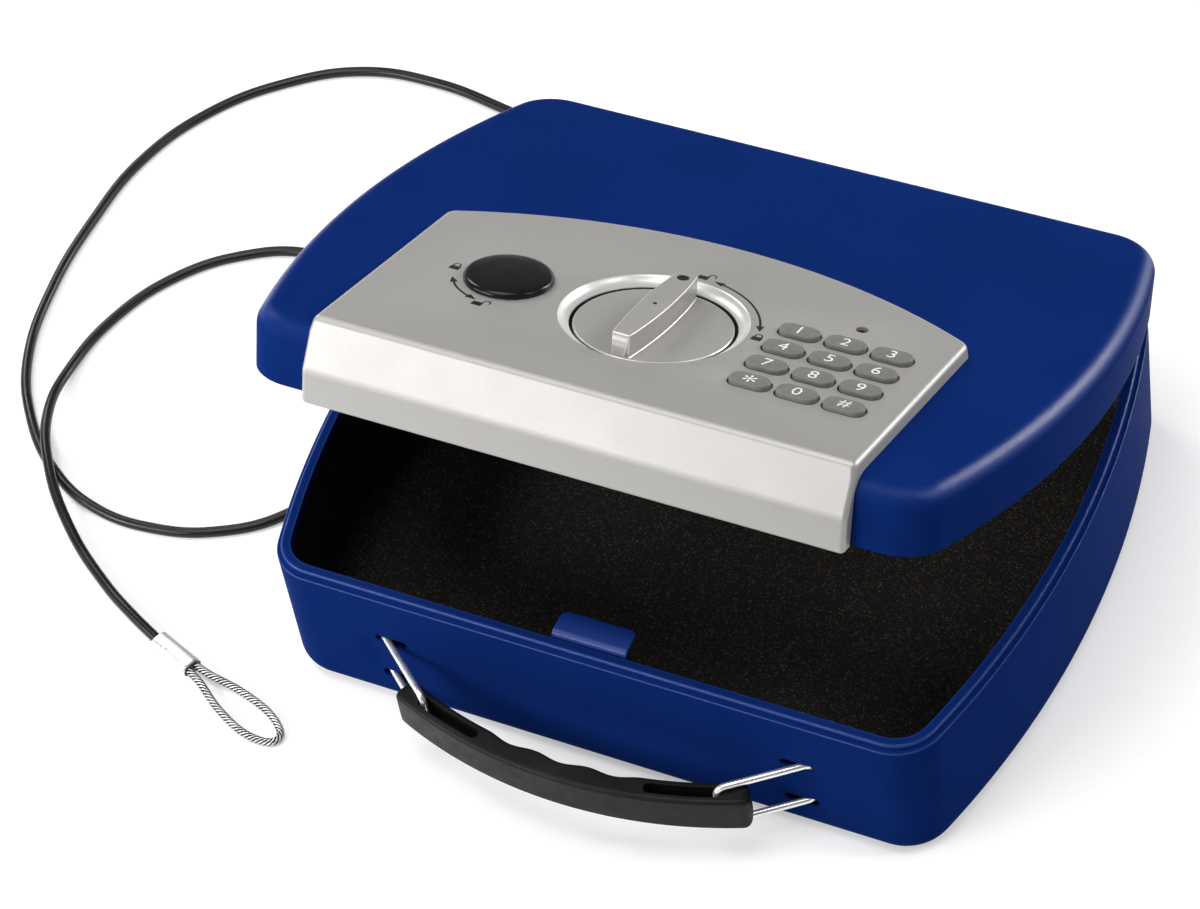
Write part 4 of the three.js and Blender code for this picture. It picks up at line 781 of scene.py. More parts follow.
liner_cutters = [block_cutter(
    (-keeper_room_half, front_y - overrun, 0),
    (keeper_room_half, keeper_room_back, tub_height + overrun),
)]
through_liner = (front_y - overrun, front_y + bail_room_depth)
for side in (-1, 1):
    ends = sorted((side * (bail_pivot_x - bail_room_inward), side * (bail_pivot_x + bail_room_outward)))
    liner_cutters.append(slot_cutter(*ends, dimple_z, bail_room_radius, *through_liner))
cut_away(liner, liner_cutters)
place_piece(liner, "base", "black_foam", "base_liner")

# Keeper: a strip of steel bent into a hook that the bolt slides under. It is powder coated with the tub and
# riveted to its floor with two round-headed rivets.
keeper_half = 0.014
keeper_steel = 0.0016
keeper_front = -0.1019
keeper_top = 0.060
keeper_shelf_end = -0.0918
keeper_foot = 0.0015
keeper_foot_end = -0.0859
keeper_bend = 0.0024
keeper_corner = 0.0026


def keeper_ring(x, shrink):
    """The bent strip from the side. Its shelf's free corners are rounded seen from above."""
    away = max(0.0, abs(x) - (keeper_half - keeper_corner))
    pull = keeper_corner - math.sqrt(max(keeper_corner ** 2 - away ** 2, 0.0))
    low = (keeper_front + keeper_bend, keeper_foot + keeper_bend)
    high = (keeper_front + keeper_bend, keeper_top - keeper_bend)
    outer = keeper_bend - shrink
    inner = keeper_bend - keeper_steel + shrink
    outline = [
        Vector((keeper_foot_end, keeper_foot + shrink)),
        *reversed(arc(low, outer, math.pi, 3 * math.pi / 2, 6)),
        *reversed(arc(high, outer, math.pi / 2, math.pi, 6)),
        Vector((keeper_shelf_end - pull, keeper_top - shrink)),
        Vector((keeper_shelf_end - pull, keeper_top - keeper_steel + shrink)),
        *arc(high, inner, math.pi / 2, math.pi, 6),
        *arc(low, inner, math.pi, 3 * math.pi / 2, 6),
        Vector((keeper_foot_end, keeper_foot + keeper_steel - shrink)),
    ]
    return [Vector((x, point.x, point.y)) for point in outline]


keeper_edge = 0.0003
keeper_rings = [keeper_ring(-keeper_half, keeper_edge)]
keeper_steps = 28
for i in range(keeper_steps + 1):
    across = -keeper_half + keeper_edge + 2 * (keeper_half - keeper_edge) * i / keeper_steps
    keeper_rings.append(keeper_ring(across, 0))
keeper_rings.append(keeper_ring(keeper_half, keeper_edge))
keeper = make_mesh("keeper_hook", *loft(keeper_rings), blue_powder)
# The shelf's front bend is marked for the glossier coat and the painted highlight.
mark_points(keeper, "gloss_and_highlight", [
    float(point.z > keeper_top - keeper_bend and point.y < keeper_front + keeper_bend)
    for ring in keeper_rings
    for point in ring
])
place_piece(keeper, "base", "blue_powder_coat", "keeper")


def turned(name, profile, material, matrix, sides):
    """A turned piece from (radius, height) pairs about an axis. A profile that is off the axis is a ring."""
    points, faces, rings = [], [], []
    for radius, height in profile:
        if radius == 0:
            rings.append([len(points)] * sides)
            points.append((0, 0, height))
        else:
            rings.append([len(points) + k for k in range(sides)])
            points.extend(
                (radius * math.cos(angle), radius * math.sin(angle), height)
                for angle in (2 * math.pi * k / sides for k in range(sides))
            )
    if profile[0][0]:
        rings.append(rings[0])
    for below, above in zip(rings, rings[1:]):
        for k in range(sides):
            corners = [below[k], below[(k + 1) % sides], above[(k + 1) % sides], above[k]]
            face = tuple(dict.fromkeys(corners))
            if len(face) > 2:
                faces.append(face)
    piece = make_mesh(name, points, faces, material)
    piece.data.transform(matrix)
    return piece


def rivet_profile(shank, head, height, length, both):
    """A round-headed rivet, headed at one end or at both."""
    steps = 6
    dome = [
        (head * math.cos(angle), height * math.sin(angle))
        for angle in (math.pi / 2 * i / steps for i in range(steps + 1))
    ]
    top = [(shank, length), *[(radius, length + rise) for radius, rise in dome[:-1]], (0, length + height)]
    if not both:
        return [(0, 0), (shank, 0), *top]
    bottom = [(0, -height), *[(radius, -rise) for radius, rise in reversed(dome[:-1])], (shank, 0)]
    return [*bottom, *top]


zinc = grained(
    "zinc_plate",
    colours=((0.46, 0.47, 0.48), (0.64, 0.64, 0.63)), colour_grain=dict(size=0.006),
    roughness=(0.26, 0.46), roughness_grain=dict(size=0.0015, stretch=(1, 3, 3)), metallic=0.9,
)
bump(zinc, noise(zinc, size=0.0005), strength=0.2, depth=0.00008)
lighten_sharp_edges(zinc, (0.75, 0.75, 0.74), 0.5)

rivet_shank = 0.0015
rivet_head = 0.0028
rivet_dome = 0.001
rivet_length = 0.0031
floor_rivet_x = 0.008
floor_rivet_y = -0.0899
floor_rivet_z = 0.0003
floor_rivet = rivet_profile(rivet_shank, rivet_head, rivet_dome, rivet_length, both=False)
for number, side in enumerate((-1, 1), 1):
    place = Matrix.Translation((side * floor_rivet_x, floor_rivet_y, floor_rivet_z))
    rivet = turned(f"keeper_rivet_{number}_round", floor_rivet, zinc, place, 24)
    place_piece(rivet, "base", "zinc_steel", f"keeper_rivet_{number}")

# Cable fittings: a rubber grommet lines the hole in the back wall, and an aluminium stop pressed on the cable
# inside it can't pull through. The rope's eye drops over a turned steel post, riveted to the tub's floor.
grommet_gap = 0.0003
grommet_lip = 0.002
grommet_seat = back_y + grommet_gap
grommet_inner = back_y - sheet - grommet_gap
grommet_outer = grommet_seat + grommet_lip
grommet_flange = 0.0054
grommet_roll = 0.0009
stop_radius = 0.0042
stop_front = 0.09395
stop_back = 0.10595
stop_groove = 0.0003
stub_radius = 0.0017
post_place = (-0.078, 0.082, 0)
post_radius = 0.003
post_head = 0.005
post_seat = 0.0015
post_neck = 0.0175
post_top = 0.0195
fine_roll = 0.0003


def rolled(radius, height, roll, steps=5):
    """Places round the top rim of a turned piece, from its side to its top."""
    return [
        (radius - roll * (1 - math.cos(angle)), height - roll * (1 - math.sin(angle)))
        for angle in (math.pi / 2 * i / steps for i in range(steps + 1))
    ]


def rolled_under(radius, height, roll, steps=5):
    """Places round the bottom rim of a turned piece, from its bottom to its side."""
    return [(out, 2 * height - up) for out, up in reversed(rolled(radius, height, roll, steps))]


def bar_profile(radius, bottom, top, roll):
    """A round bar with both of its rims rolled."""
    return [(0, bottom), *rolled_under(radius, bottom, roll), *rolled(radius, top, roll), (0, top)]


cable_axis = Matrix.Translation((cable_exit.x, 0, cable_exit.z)) @ Matrix.Rotation(math.radians(-90), 4, "X")
grommet_profile = [
    (cable_radius, grommet_inner),
    *rolled_under(grommet_radius, grommet_inner, fine_roll),
    (grommet_radius, grommet_seat),
    *rolled(grommet_flange, grommet_outer, grommet_roll),
    (cable_radius + fine_roll, grommet_outer),
    (cable_radius, grommet_outer - fine_roll),
]
rubber_black = grained(
    "rubber_black",
    colours=((0.008, 0.008, 0.008), (0.014, 0.014, 0.0135)), colour_grain=dict(size=0.005),
    roughness=(0.5, 0.62), roughness_grain=dict(size=0.003), specular=0.3,
)
bump(rubber_black, noise(rubber_black, size=0.0006), strength=0.2, depth=0.0001)
grommet = turned("rubber_grommet", grommet_profile, rubber_black, cable_axis, 48)
place_piece(grommet, "base", "black_grip", "cable_grommet")

stop_third = (stop_back - stop_front) / 3
stop_profile = [(0, stop_front), *rolled_under(stop_radius, stop_front, 2 * fine_roll)]
for groove in (stop_front + stop_third, stop_back - stop_third):
    stop_profile += [
        (stop_radius, groove - 3 * stop_groove),
        (stop_radius - stop_groove, groove - stop_groove),
        (stop_radius - stop_groove, groove + stop_groove),
        (stop_radius, groove + 3 * stop_groove),
    ]
stop_profile += [
    *rolled(stop_radius, stop_back, 2 * fine_roll),
    (stub_radius, stop_back),
    (stub_radius, grommet_outer),
    (0, grommet_outer),
]
stop = turned("pressed_cable_stop", stop_profile, ferrule_aluminium, cable_axis, 48)
place_piece(stop, "base", "ferrule_aluminium", "cable_stop")

post_profile = [
    (0, fine_roll),
    (post_radius / 2, fine_roll),
    (post_radius / 2, post_seat),
    *rolled_under(post_radius, post_seat, fine_roll),
    (post_radius, post_neck - fine_roll),
    (post_radius + fine_roll, post_neck),
    *rolled_under(post_head, post_neck, fine_roll),
    *rolled(post_head, post_top - 2 * fine_roll, 3 * fine_roll),
    (post_radius, post_top - fine_roll / 2),
    (0, post_top),
]
post = turned("turned_loop_post", post_profile, zinc, Matrix.Translation(post_place), 48)
place_piece(post, "base", "zinc_steel", "loop_post")

# Handle: a bowed grip moulded in black plastic, with a long slot near each end that a wire runs in. The
# slots' faces are dull and matt, and painted near black as shade inside them. Each wire is a closed ring
# of bright steel, bent through two holes in the tub's wall.
grip_radius = 0.166
grip_thickness = 0.009
grip_height = 0.015
grip_half_length = 0.0655
grip_edge = 0.0016
grip_end_round = 0.0028
grip_round_steps = 5
grip_z = 0.025
bail_length = 0.0332
bail_angle = math.radians(38.5)
bail_half_height = 0.0095
bail_bend = 0.0032
bail_pivot_y = -0.105
bail_end = Vector((
    bail_pivot_x - bail_length * math.cos(bail_angle),
    bail_pivot_y - bail_length * math.sin(bail_angle),
))
grip_centre_y = bail_end.y + math.sqrt(grip_radius ** 2 - bail_end.x ** 2)
grip_wave = 0.0013
grip_waves = 3
grip_wavy_half = 0.030


def grip_ring(x, shrink):
    """A rounded oblong section across the grip. Its inner side has shallow finger hollows."""
    turn = math.asin(x / grip_radius)
    out = Vector((math.sin(turn), -math.cos(turn), 0))
    centre = Vector((0, grip_centre_y, grip_z)) + grip_radius * out
    half_thick = grip_thickness / 2 - shrink
    half_high = grip_height / 2 - shrink
    run = min(max(x / (2 * grip_wavy_half) + 0.5, 0), 1)
    wave = grip_wave * (1 - math.cos(2 * math.pi * grip_waves * run)) / 2
    ring = []
    for start, sign_out, sign_up in ((0, 1, 1), (1, -1, 1), (2, -1, -1), (3, 1, -1)):
        for angle in (math.pi / 2 * (start + k / grip_round_steps) for k in range(grip_round_steps + 1)):
            away = sign_out * (half_thick - grip_edge) + grip_edge * math.cos(angle)
            rise = sign_up * (half_high - grip_edge) + grip_edge * math.sin(angle)
            if away < 0:
                away += wave
            ring.append(centre + away * out + Vector((0, 0, rise)))
    return ring


grip_black = grained(
    "grip_black",
    colours=((0.0065, 0.0065, 0.0065), (0.011, 0.011, 0.0105)), colour_grain=dict(size=0.02),
    roughness=(0.36, 0.5), roughness_grain=dict(size=0.004), specular=0.14,
)
bump(grip_black, noise(grip_black, size=0.0006, detail=4), strength=0.3, depth=0.00015)

grip_steps = 96
grip_ends = []
for i in range(grip_round_steps + 1):
    angle = math.pi / 2 * i / grip_round_steps
    grip_ends.append((
        grip_half_length - grip_end_round * (1 - math.sin(angle)),
        grip_end_round * (1 - math.cos(angle)),
    ))
grip_straight = grip_half_length - grip_end_round
grip_rings = [grip_ring(-x, shrink) for x, shrink in reversed(grip_ends)]
grip_rings += [grip_ring(grip_straight * (2 * i / grip_steps - 1), 0) for i in range(1, grip_steps)]
grip_rings += [grip_ring(x, shrink) for x, shrink in grip_ends]
grip = make_mesh("handle_grip_moulded", *loft(grip_rings), grip_black)

# The slots' faces: duller, and painted near black as shade inside the slots.
slot_painted_shade = grained(
    "grip_slot_painted_shade",
    colours=((0.0025, 0.0025, 0.0025), (0.004, 0.004, 0.004)), colour_grain=dict(size=0.002),
    roughness=(0.8, 0.9), roughness_grain=dict(size=0.002), specular=0.05,
)
grip_slot_half = 0.002
grip_slot_x = (0.0330, 0.0550)


def grip_slot(side):
    """A round-ended slot that follows the grip's bow, cut right through it."""
    outline = []
    ends = [math.asin(x / grip_radius) for x in grip_slot_x]
    steps = 12
    end_steps = 8
    for radius, turns in ((grip_radius + grip_slot_half, ends), (grip_radius - grip_slot_half, ends[::-1])):
        for i in range(steps + 1):
            turn = turns[0] + (turns[1] - turns[0]) * i / steps
            outline.append((side * radius * math.sin(turn), grip_centre_y - radius * math.cos(turn)))
        past = turns[1]
        way = 1 if turns[1] > turns[0] else -1
        middle = Vector((math.sin(past), -math.cos(past))) * grip_radius
        for i in range(1, end_steps):
            angle = math.pi * i / end_steps
            out = Vector((math.sin(past), -math.cos(past))) * math.cos(angle) * (radius - grip_radius)
            along = Vector((math.cos(past), math.sin(past))) * way * math.sin(angle) * grip_slot_half
            place = middle + out + along
            outline.append((side * place.x, grip_centre_y + place.y))
    levels = (grip_z - grip_height, grip_z + grip_height)
    rings = [[Vector((x, y, height)) for x, y in outline] for height in levels]
    return make_mesh("slot_cutter", *loft(rings), grip_black)


def use_second_finish(piece, material):
    """The whole piece takes a second finish, and what it is cut from or joined to takes it along."""
    piece.data.materials.append(material)
    for face in piece.data.polygons:
        face.material_index = 1


slot_cutters = [grip_slot(-1), grip_slot(1)]
for cutter in slot_cutters:
    use_second_finish(cutter, slot_painted_shade)
grip.data.materials.append(slot_painted_shade)
cut_away(grip, slot_cutters)
even_normals(grip, sharp=40)
place_piece(grip, "grip", "black_grip", "handle_grip")

bright_wire = grained(
    "bright_wire",
    colours=((0.86, 0.86, 0.85), (0.95, 0.95, 0.94)), colour_grain=dict(size=0.008),
    roughness=(0.24, 0.36), roughness_grain=dict(size=0.003), metallic=0.85,
)
bump(bright_wire, noise(bright_wire, size=0.0004), strength=0.15, depth=0.00004)

for side, bail in ((-1, "bail_left"), (1, "bail_right")):
    outwards = Vector((-side * math.cos(bail_angle), -math.sin(bail_angle), 0))
    pivot = Vector((side * bail_pivot_x, bail_pivot_y, grip_z))
    corners = [
        Vector((0, wire_room)),
        *arc((bail_bend, bail_half_height - bail_bend), bail_bend, math.pi, math.pi / 2, 8),
        *arc((bail_length - bail_bend, bail_half_height - bail_bend), bail_bend, math.pi / 2, 0, 8),
    ]
    loop = [*corners, *[Vector((point.x, -point.y)) for point in reversed(corners)]]
    path = [pivot + point.x * outwards + Vector((0, 0, point.y)) for point in loop]
    rings = tube_rings(path, wire_radius, 20, across=outwards.cross(Vector((0, 0, 1))))
    wire = make_mesh(f"handle_wire_{bail}", *loft(rings), bright_wire)
    place_piece(wire, bail, "bright_wire", f"handle_{bail}")

# Lid: a shallow tray of the same coated sheet, turned over and held open by the hinge's stiff fit. Its
# pieces are made where they lie when it is shut, and turned open about the hinge's pin.
lid_edge = 0.0565
lid_top = 0.080
lid_edge_radius = 0.0078
lid_ceiling = lid_top - sheet
lid_highlight_narrowness = 3
lid_front_highlight_share = 0.15
lid_hem_share = 0.3
lid_open = math.radians(22.1)
hinge_behind = 0.0027
hinge_drop = 0.0015
hinge = Vector((0, back_y + hinge_behind, tub_height - hinge_drop))
lid_turn = Matrix.Translation(hinge) @ Matrix.Rotation(-lid_open, 4, "X") @ Matrix.Translation(-hinge)


def place_on_lid(piece, body, slot, *stands_for):
    """A piece that was made on the shut lid is turned open with it, and takes its place."""
    piece.data.transform(lid_turn)
    place_piece(piece, body, slot, *stands_for)


lid_levels = [
    (lid_edge_radius + sheet, lid_ceiling),
    *reversed(quarter(sheet, lid_ceiling, lid_edge_radius - sheet, 10, "upright_to_flat")),
    (sheet, lid_edge + sheet / 3),
    (sheet * (1 - lid_hem_share), lid_edge),
    (sheet * lid_hem_share, lid_edge),
    (0, lid_edge + sheet / 3),
    *quarter(0, lid_top, lid_edge_radius, 12, "upright_to_flat"),
    (lid_edge_radius + sheet, lid_top),
    (lid_edge_radius + 2 * sheet, lid_top),
]
lid_rings = [plan_ring(inset, height) for inset, height in lid_levels]
lid = make_mesh("pressed_lid", *loft(lid_rings), blue_powder)
# The rolled edge is marked for the glossier coat and the painted highlight, most along the sides and less at
# the front and back.
lid_gloss_and_highlight = []
for ring in lid_rings:
    level_share = rolled_edge_highlight_share(ring[0].z, lid_top, lid_edge_radius) ** lid_highlight_narrowness
    for i in range(len(ring)):
        way = (ring[(i + 1) % len(ring)] - ring[i - 1]).normalized()
        lid_gloss_and_highlight.append(level_share * (lid_front_highlight_share + (1 - lid_front_highlight_share) * way.y ** 2))
mark_points(lid, "gloss_and_highlight", lid_gloss_and_highlight)
even_normals(lid, sharp=50)
place_on_lid(lid, "lid", "blue_powder_coat", "lid_shell")

# Hinge: a piano hinge of zinc-plated steel. Its two leaves are rolled into five knuckles round one pin, and
# each is riveted to its wall with three rivets headed on both sides.
hinge_roll = 0.0002
pin_radius = 0.0012
pin_half = 0.075
rivet_pitch = 0.055
rivet_inner_y = 0.10625
rivet_rise = 0.0087
facet_turn = 1.0


def round_edges(piece, width, steps, sharp, finish_slot=-1):
    """Rolls the piece's sharp edges, which may take another of its finishes."""
    change = piece.modifiers.new("edges", "BEVEL")
    change.width = width
    change.segments = steps
    change.limit_method = "ANGLE"
    change.angle_limit = math.radians(sharp)
    change.harden_normals = False
    change.material = finish_slot
    apply_changes(piece)


def eased(node, material, roll, body, slot):
    """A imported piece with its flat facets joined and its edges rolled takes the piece's place."""
    skin = bmesh.new()
    skin.from_mesh(nodes[node].data)
    bmesh.ops.remove_doubles(skin, verts=skin.verts, dist=roll / 100)
    bmesh.ops.dissolve_limit(skin, angle_limit=math.radians(facet_turn), verts=skin.verts, edges=skin.edges)
    mesh = bpy.data.meshes.new(f"{node}_eased")
    skin.to_mesh(mesh)
    skin.free()
    mesh.materials.clear()
    mesh.materials.append(material)
    piece = add_object(f"{node}_eased", mesh)
    round_edges(piece, roll, steps=3, sharp=32)
    even_normals(piece)
    place_piece(piece, body, slot, node)


for node, body in (("hinge_leaf_base", "base"), ("hinge_leaf_lid", "lid")):
    eased(node, zinc, hinge_roll, body, "zinc_steel")
pin_profile = bar_profile(pin_radius, -pin_half, pin_half, pin_radius / 2)
pin_axis = Matrix.Translation(hinge) @ Matrix.Rotation(math.radians(90), 4, "Y")
pin = turned("hinge_pin_rod", pin_profile, zinc, pin_axis, 24)
place_piece(pin, "base", "zinc_steel", "hinge_pin")
hinge_rivet = rivet_profile(rivet_shank, rivet_head, rivet_dome, rivet_length, both=True)
for number in (1, 2, 3):
    for side, way, place_it in (("base", -1, place_piece), ("lid", 1, place_on_lid)):
        place = Matrix.Translation(((number - 2) * rivet_pitch, rivet_inner_y, hinge.z + way * rivet_rise))
        place = place @ Matrix.Rotation(math.radians(-90), 4, "X")
        rivet = turned(f"hinge_rivet_{side}_{number}_round", hinge_rivet, zinc, place, 24)
        place_it(rivet, side, "zinc_steel", f"hinge_rivet_{side}_{number}")

# Lock panel: a cover moulded in plastic and painted silver. It stands on the lid's top, slopes down at the
# front and wraps over the lid's edge. Its corners are rolled, so they draw bright lines. Its sharp edges and
# the dish round the dial are painted lighter: painted highlight.
panel_z = 0.085
panel_half_width = 0.0964
panel_side_slope = 0.001
panel_back_y = -0.0122
panel_back_bulge = 0.0253
panel_back_corner = 0.0042
panel_least_corner = 0.0005
panel_ridge_y = -0.1063
panel_stand_out = 0.005
panel_knee_drop = 0.0173
panel_lip_lap = 0.0012
panel_face_y = front_y - panel_stand_out
panel_knee_z = panel_z - panel_knee_drop
panel_bottom = tub_height - panel_lip_lap
panel_roll = 0.0019
panel_fit = 0.0003

silver_paint = grained(
    "silver_paint",
    colours=((0.365, 0.355, 0.34), (0.395, 0.384, 0.368)), colour_grain=dict(size=0.0005, detail=1),
    roughness=(0.41, 0.45), roughness_grain=dict(size=0.02), metallic=0.4, specular=0.4,
)
bump(silver_paint, noise(silver_paint, size=0.0004), strength=0.06, depth=0.00004)
# Its sharp edges are painted lighter: painted highlight.
lighten_sharp_edges(silver_paint, (0.6, 0.59, 0.57), 0.3)

# A lighter copy of the silver paint for the dish round the dial and the knob's rolled edges: painted
# highlight.
silver_painted_highlight = grained(
    "silver_painted_highlight",
    colours=((0.62, 0.615, 0.6), (0.66, 0.655, 0.64)), colour_grain=dict(size=0.0005, detail=1),
    roughness=(0.33, 0.39), roughness_grain=dict(size=0.02), metallic=0.45,
)
bump(silver_painted_highlight, noise(silver_painted_highlight, size=0.0004), strength=0.06, depth=0.00004)


def panel_plan(inset, height):
    """The panel from above: straight sides, round back corners and a bowed back. It runs past the front."""
    radius = (panel_half_width ** 2 + panel_back_bulge ** 2) / (2 * panel_back_bulge)
    centre_y = panel_back_y + panel_back_bulge - radius
    half = panel_half_width - inset
    corner = max(panel_back_corner - inset, panel_least_corner)
    corner_x = half - corner
    corner_y = centre_y + math.sqrt((radius - inset - corner) ** 2 - corner_x ** 2)
    turn = math.atan2(corner_y - centre_y, corner_x)
    front = [Vector((-half, panel_face_y - overrun)), Vector((half, panel_face_y - overrun))]
    side = arc((corner_x, corner_y), corner, 0, turn, 10)
    bow = arc((0, centre_y), radius - inset, turn, math.pi - turn, 56)[1:-1]
    other = [Vector((-point.x, point.y)) for point in reversed(side)]
    return [Vector((point.x, point.y, height)) for point in [*front, *side, *bow, *other]]


panel_levels = [(-panel_side_slope, panel_bottom), (-panel_side_slope, lid_top), (0, panel_z)]
panel = make_mesh("panel_block", *loft([panel_plan(*level) for level in panel_levels]), silver_paint)
panel.data.materials.append(silver_painted_highlight)
panel_side_outline = [
    (panel_face_y, panel_bottom - overrun),
    (panel_face_y, panel_knee_z),
    (panel_ridge_y, panel_z),
    (back_y, panel_z),
    (back_y, panel_bottom - overrun),
]
panel_side_rings = [
    [Vector((x, y, z)) for y, z in panel_side_outline] for x in (-front_half_width, front_half_width)
]
cut_away(panel, [make_mesh("panel_side", *loft(panel_side_rings), silver_paint)], "INTERSECT")
round_edges(panel, panel_roll, steps=4, sharp=14)

room_levels = [
    (-panel_fit, panel_bottom - 2 * overrun),
    *quarter(-panel_fit, lid_top + panel_fit, lid_edge_radius, 12, "upright_to_flat"),
]
lid_room = make_mesh("lid_room", *loft([plan_ring(*level) for level in room_levels]), silver_paint)
dial_y = -0.0497
dial_radius = 0.0268
dial_z = 0.0822
dish_foot = 0.0281
dish_radius = 0.0318
dish_lip = 0.0003
dish_sag = 0.0004
dish_steps = 8
dish_wall = []
for i in range(dish_steps + 1):
    share = i / dish_steps
    sag = dish_sag * math.sin(math.pi * share)
    dish_wall.append((
        dish_foot + (dish_radius - dish_lip - dish_foot) * share + sag / 2,
        dial_z + (panel_z - dish_lip - dial_z) * share - sag,
    ))
dish_profile = [
    (0, lid_top - overrun),
    (dish_foot, lid_top - overrun),
    *dish_wall,
    (dish_radius, panel_z - dish_lip / 3),
    (dish_radius + dish_lip / 2, panel_z),
    (dish_radius + dish_lip / 2, panel_z + overrun),
    (0, panel_z + overrun),
]
dial_place = Matrix.Translation((0, dial_y, 0))
dish = turned("dish_cutter", dish_profile, silver_paint, dial_place, 96)
# The dish's wall takes the lighter silver: painted highlight.
use_second_finish(dish, silver_painted_highlight)

key_length = 0.0139
key_width = 0.00905
key_room = 0.00065
key_waist = 0.15
key_waist_width = 8
key_squareness = 0.8
keypad_x = 0.0626
keypad_y = -0.0554
key_pitch_x = 0.01645
key_pitch_y = 0.0132
key_names = ["1", "2", "3", "4", "5", "6", "7", "8", "9", "star", "0", "hash"]
key_columns = 3
key_rows = 4


def key_ring(place, grow, height):
    """A long oval, a little drawn in at its waist, as the keys and their openings have it."""
    ring = []
    steps = 72
    for i in range(steps):
        angle = 2 * math.pi * i / steps
        across, up = math.cos(angle), math.sin(angle)
        waist = 1 - key_waist * abs(up) ** key_waist_width
        ring.append(Vector((
            place[0] + (key_length / 2 + grow) * math.copysign(abs(across) ** key_squareness, across),
            place[1] + (key_width / 2 + grow) * math.copysign(abs(up) ** key_squareness, up) * waist,
            height,
        )))
    return ring


key_places = {}
for i, name in enumerate(key_names):
    row, column = divmod(i, key_columns)
    key_places[name] = (
        keypad_x + (column - (key_columns - 1) / 2) * key_pitch_x,
        keypad_y + ((key_rows - 1) / 2 - row) * key_pitch_y,
    )
openings = [
    make_mesh(
        "key_opening",
        *loft([key_ring(place, key_room, height) for height in (lid_top - overrun, panel_z + overrun)]),
        silver_paint,
    )
    for place in key_places.values()
]
cap_place = (-0.0537, -0.050)
cap_hole = 0.012
lamp_rise = 0.0337
lamp_place = (keypad_x, keypad_y + lamp_rise)
lamp_hole = 0.0022


def round_block(name, place, radius, low, high, material, sides):
    """A plain upright cylinder between two heights."""
    profile = [(0, low), (radius, low), (radius, high), (0, high)]
    return turned(name, profile, material, Matrix.Translation((*place, 0)), sides)


openings += [
    round_block("round_opening", place, radius, lid_top - overrun, panel_z + overrun, silver_paint, 64)
    for place, radius in ((cap_place, cap_hole), (lamp_place, lamp_hole))
]
cut_away(panel, [lid_room, dish, *openings])
even_normals(panel, sharp=30)
place_on_lid(panel, "lid", "silver_plastic", "lock_panel")

# Printed marks: black ink on the panel. Beside the dial an open padlock, a shut padlock and an arrow between
# them show which way it locks, and beside the cap the same three show it for the key.
ink = 0.00003
ink_line = 0.0008
padlock_width = 0.0036
padlock_height = 0.0026
shackle_outer = 0.0014
shackle_inner = 0.0009
arrow_head = 0.004
arrow_half = 0.0014
dial_open_place = (0.0014, -0.0130)
dial_shut_place = (0.0352, -0.0445)
dial_arrow_radius = 0.035
dial_arrow_turns = (21, 74)
cap_marks_radius = 0.0197
cap_open_leftward = 0.001
cap_shut_place = (cap_place[0] - cap_marks_radius, cap_place[1])
cap_open_place = (cap_place[0] - cap_open_leftward, cap_place[1] - cap_marks_radius)
cap_arrow_radius = 0.0185
cap_arrow_turns = (216, 250)
ink_black = grained(
    "ink_black",
    colours=((0.006, 0.006, 0.006), (0.012, 0.012, 0.012)), colour_grain=dict(size=0.0005),
    roughness=(0.4, 0.55), roughness_grain=dict(size=0.001), specular=0.3,
)


def padlock(x, y, is_open):
    """Outlines of a padlock's body and shackle. The open one's shackle stands out past its right side."""
    half = padlock_width / 2
    body = [(x - half, y - padlock_height), (x + half, y - padlock_height), (x + half, y), (x - half, y)]
    shackle_x = x + (half + shackle_inner if is_open else 0)
    shackle = [
        (shackle_x + shackle_outer, y),
        *arc((shackle_x, y + ink_line), shackle_outer, 0, math.pi, 12),
        (shackle_x - shackle_outer, y),
        (shackle_x - shackle_inner, y),
        *reversed(arc((shackle_x, y + ink_line), shackle_inner, 0, math.pi, 12)),
        (shackle_x + shackle_inner, y),
    ]
    return [body, shackle]


def turn_arrow(centre, radius, start, end):
    """Outlines of an arrow along an arc, with a head at each end. Its angles are in degrees."""
    start, end = math.radians(start), math.radians(end)
    outer = arc(centre, radius + ink_line / 2, start, end, 24)
    inner = arc(centre, radius - ink_line / 2, start, end, 24)
    outlines = [[*outer, *reversed(inner)]]
    for angle, way in ((start, -1), (end, 1)):
        out = Vector((math.cos(angle), math.sin(angle)))
        along = way * Vector((-out.y, out.x))
        neck = Vector(centre) + radius * out
        outlines.append([neck + arrow_head * along, neck + arrow_half * out, neck - arrow_half * out])
    return outlines


def printed(name, outlines):
    """Outlines filled with ink on the panel's top."""
    levels = (panel_z - ink, panel_z + ink)
    skins = [loft([[Vector((*point[:2], z)) for point in outline] for z in levels]) for outline in outlines]
    place_on_lid(make_mesh(name, *joined(skins), ink_black), "lid", "gloss_black_cap")


printed("dial_open_mark", padlock(*dial_open_place, is_open=True))
printed("dial_shut_mark", padlock(*dial_shut_place, is_open=False))
printed("dial_arrow", turn_arrow((0, dial_y), dial_arrow_radius, *dial_arrow_turns))
printed("cap_shut_mark", padlock(*cap_shut_place, is_open=False))
printed("cap_open_mark", padlock(*cap_open_place, is_open=True))
printed("cap_arrow", turn_arrow(cap_place, cap_arrow_radius, *cap_arrow_turns))

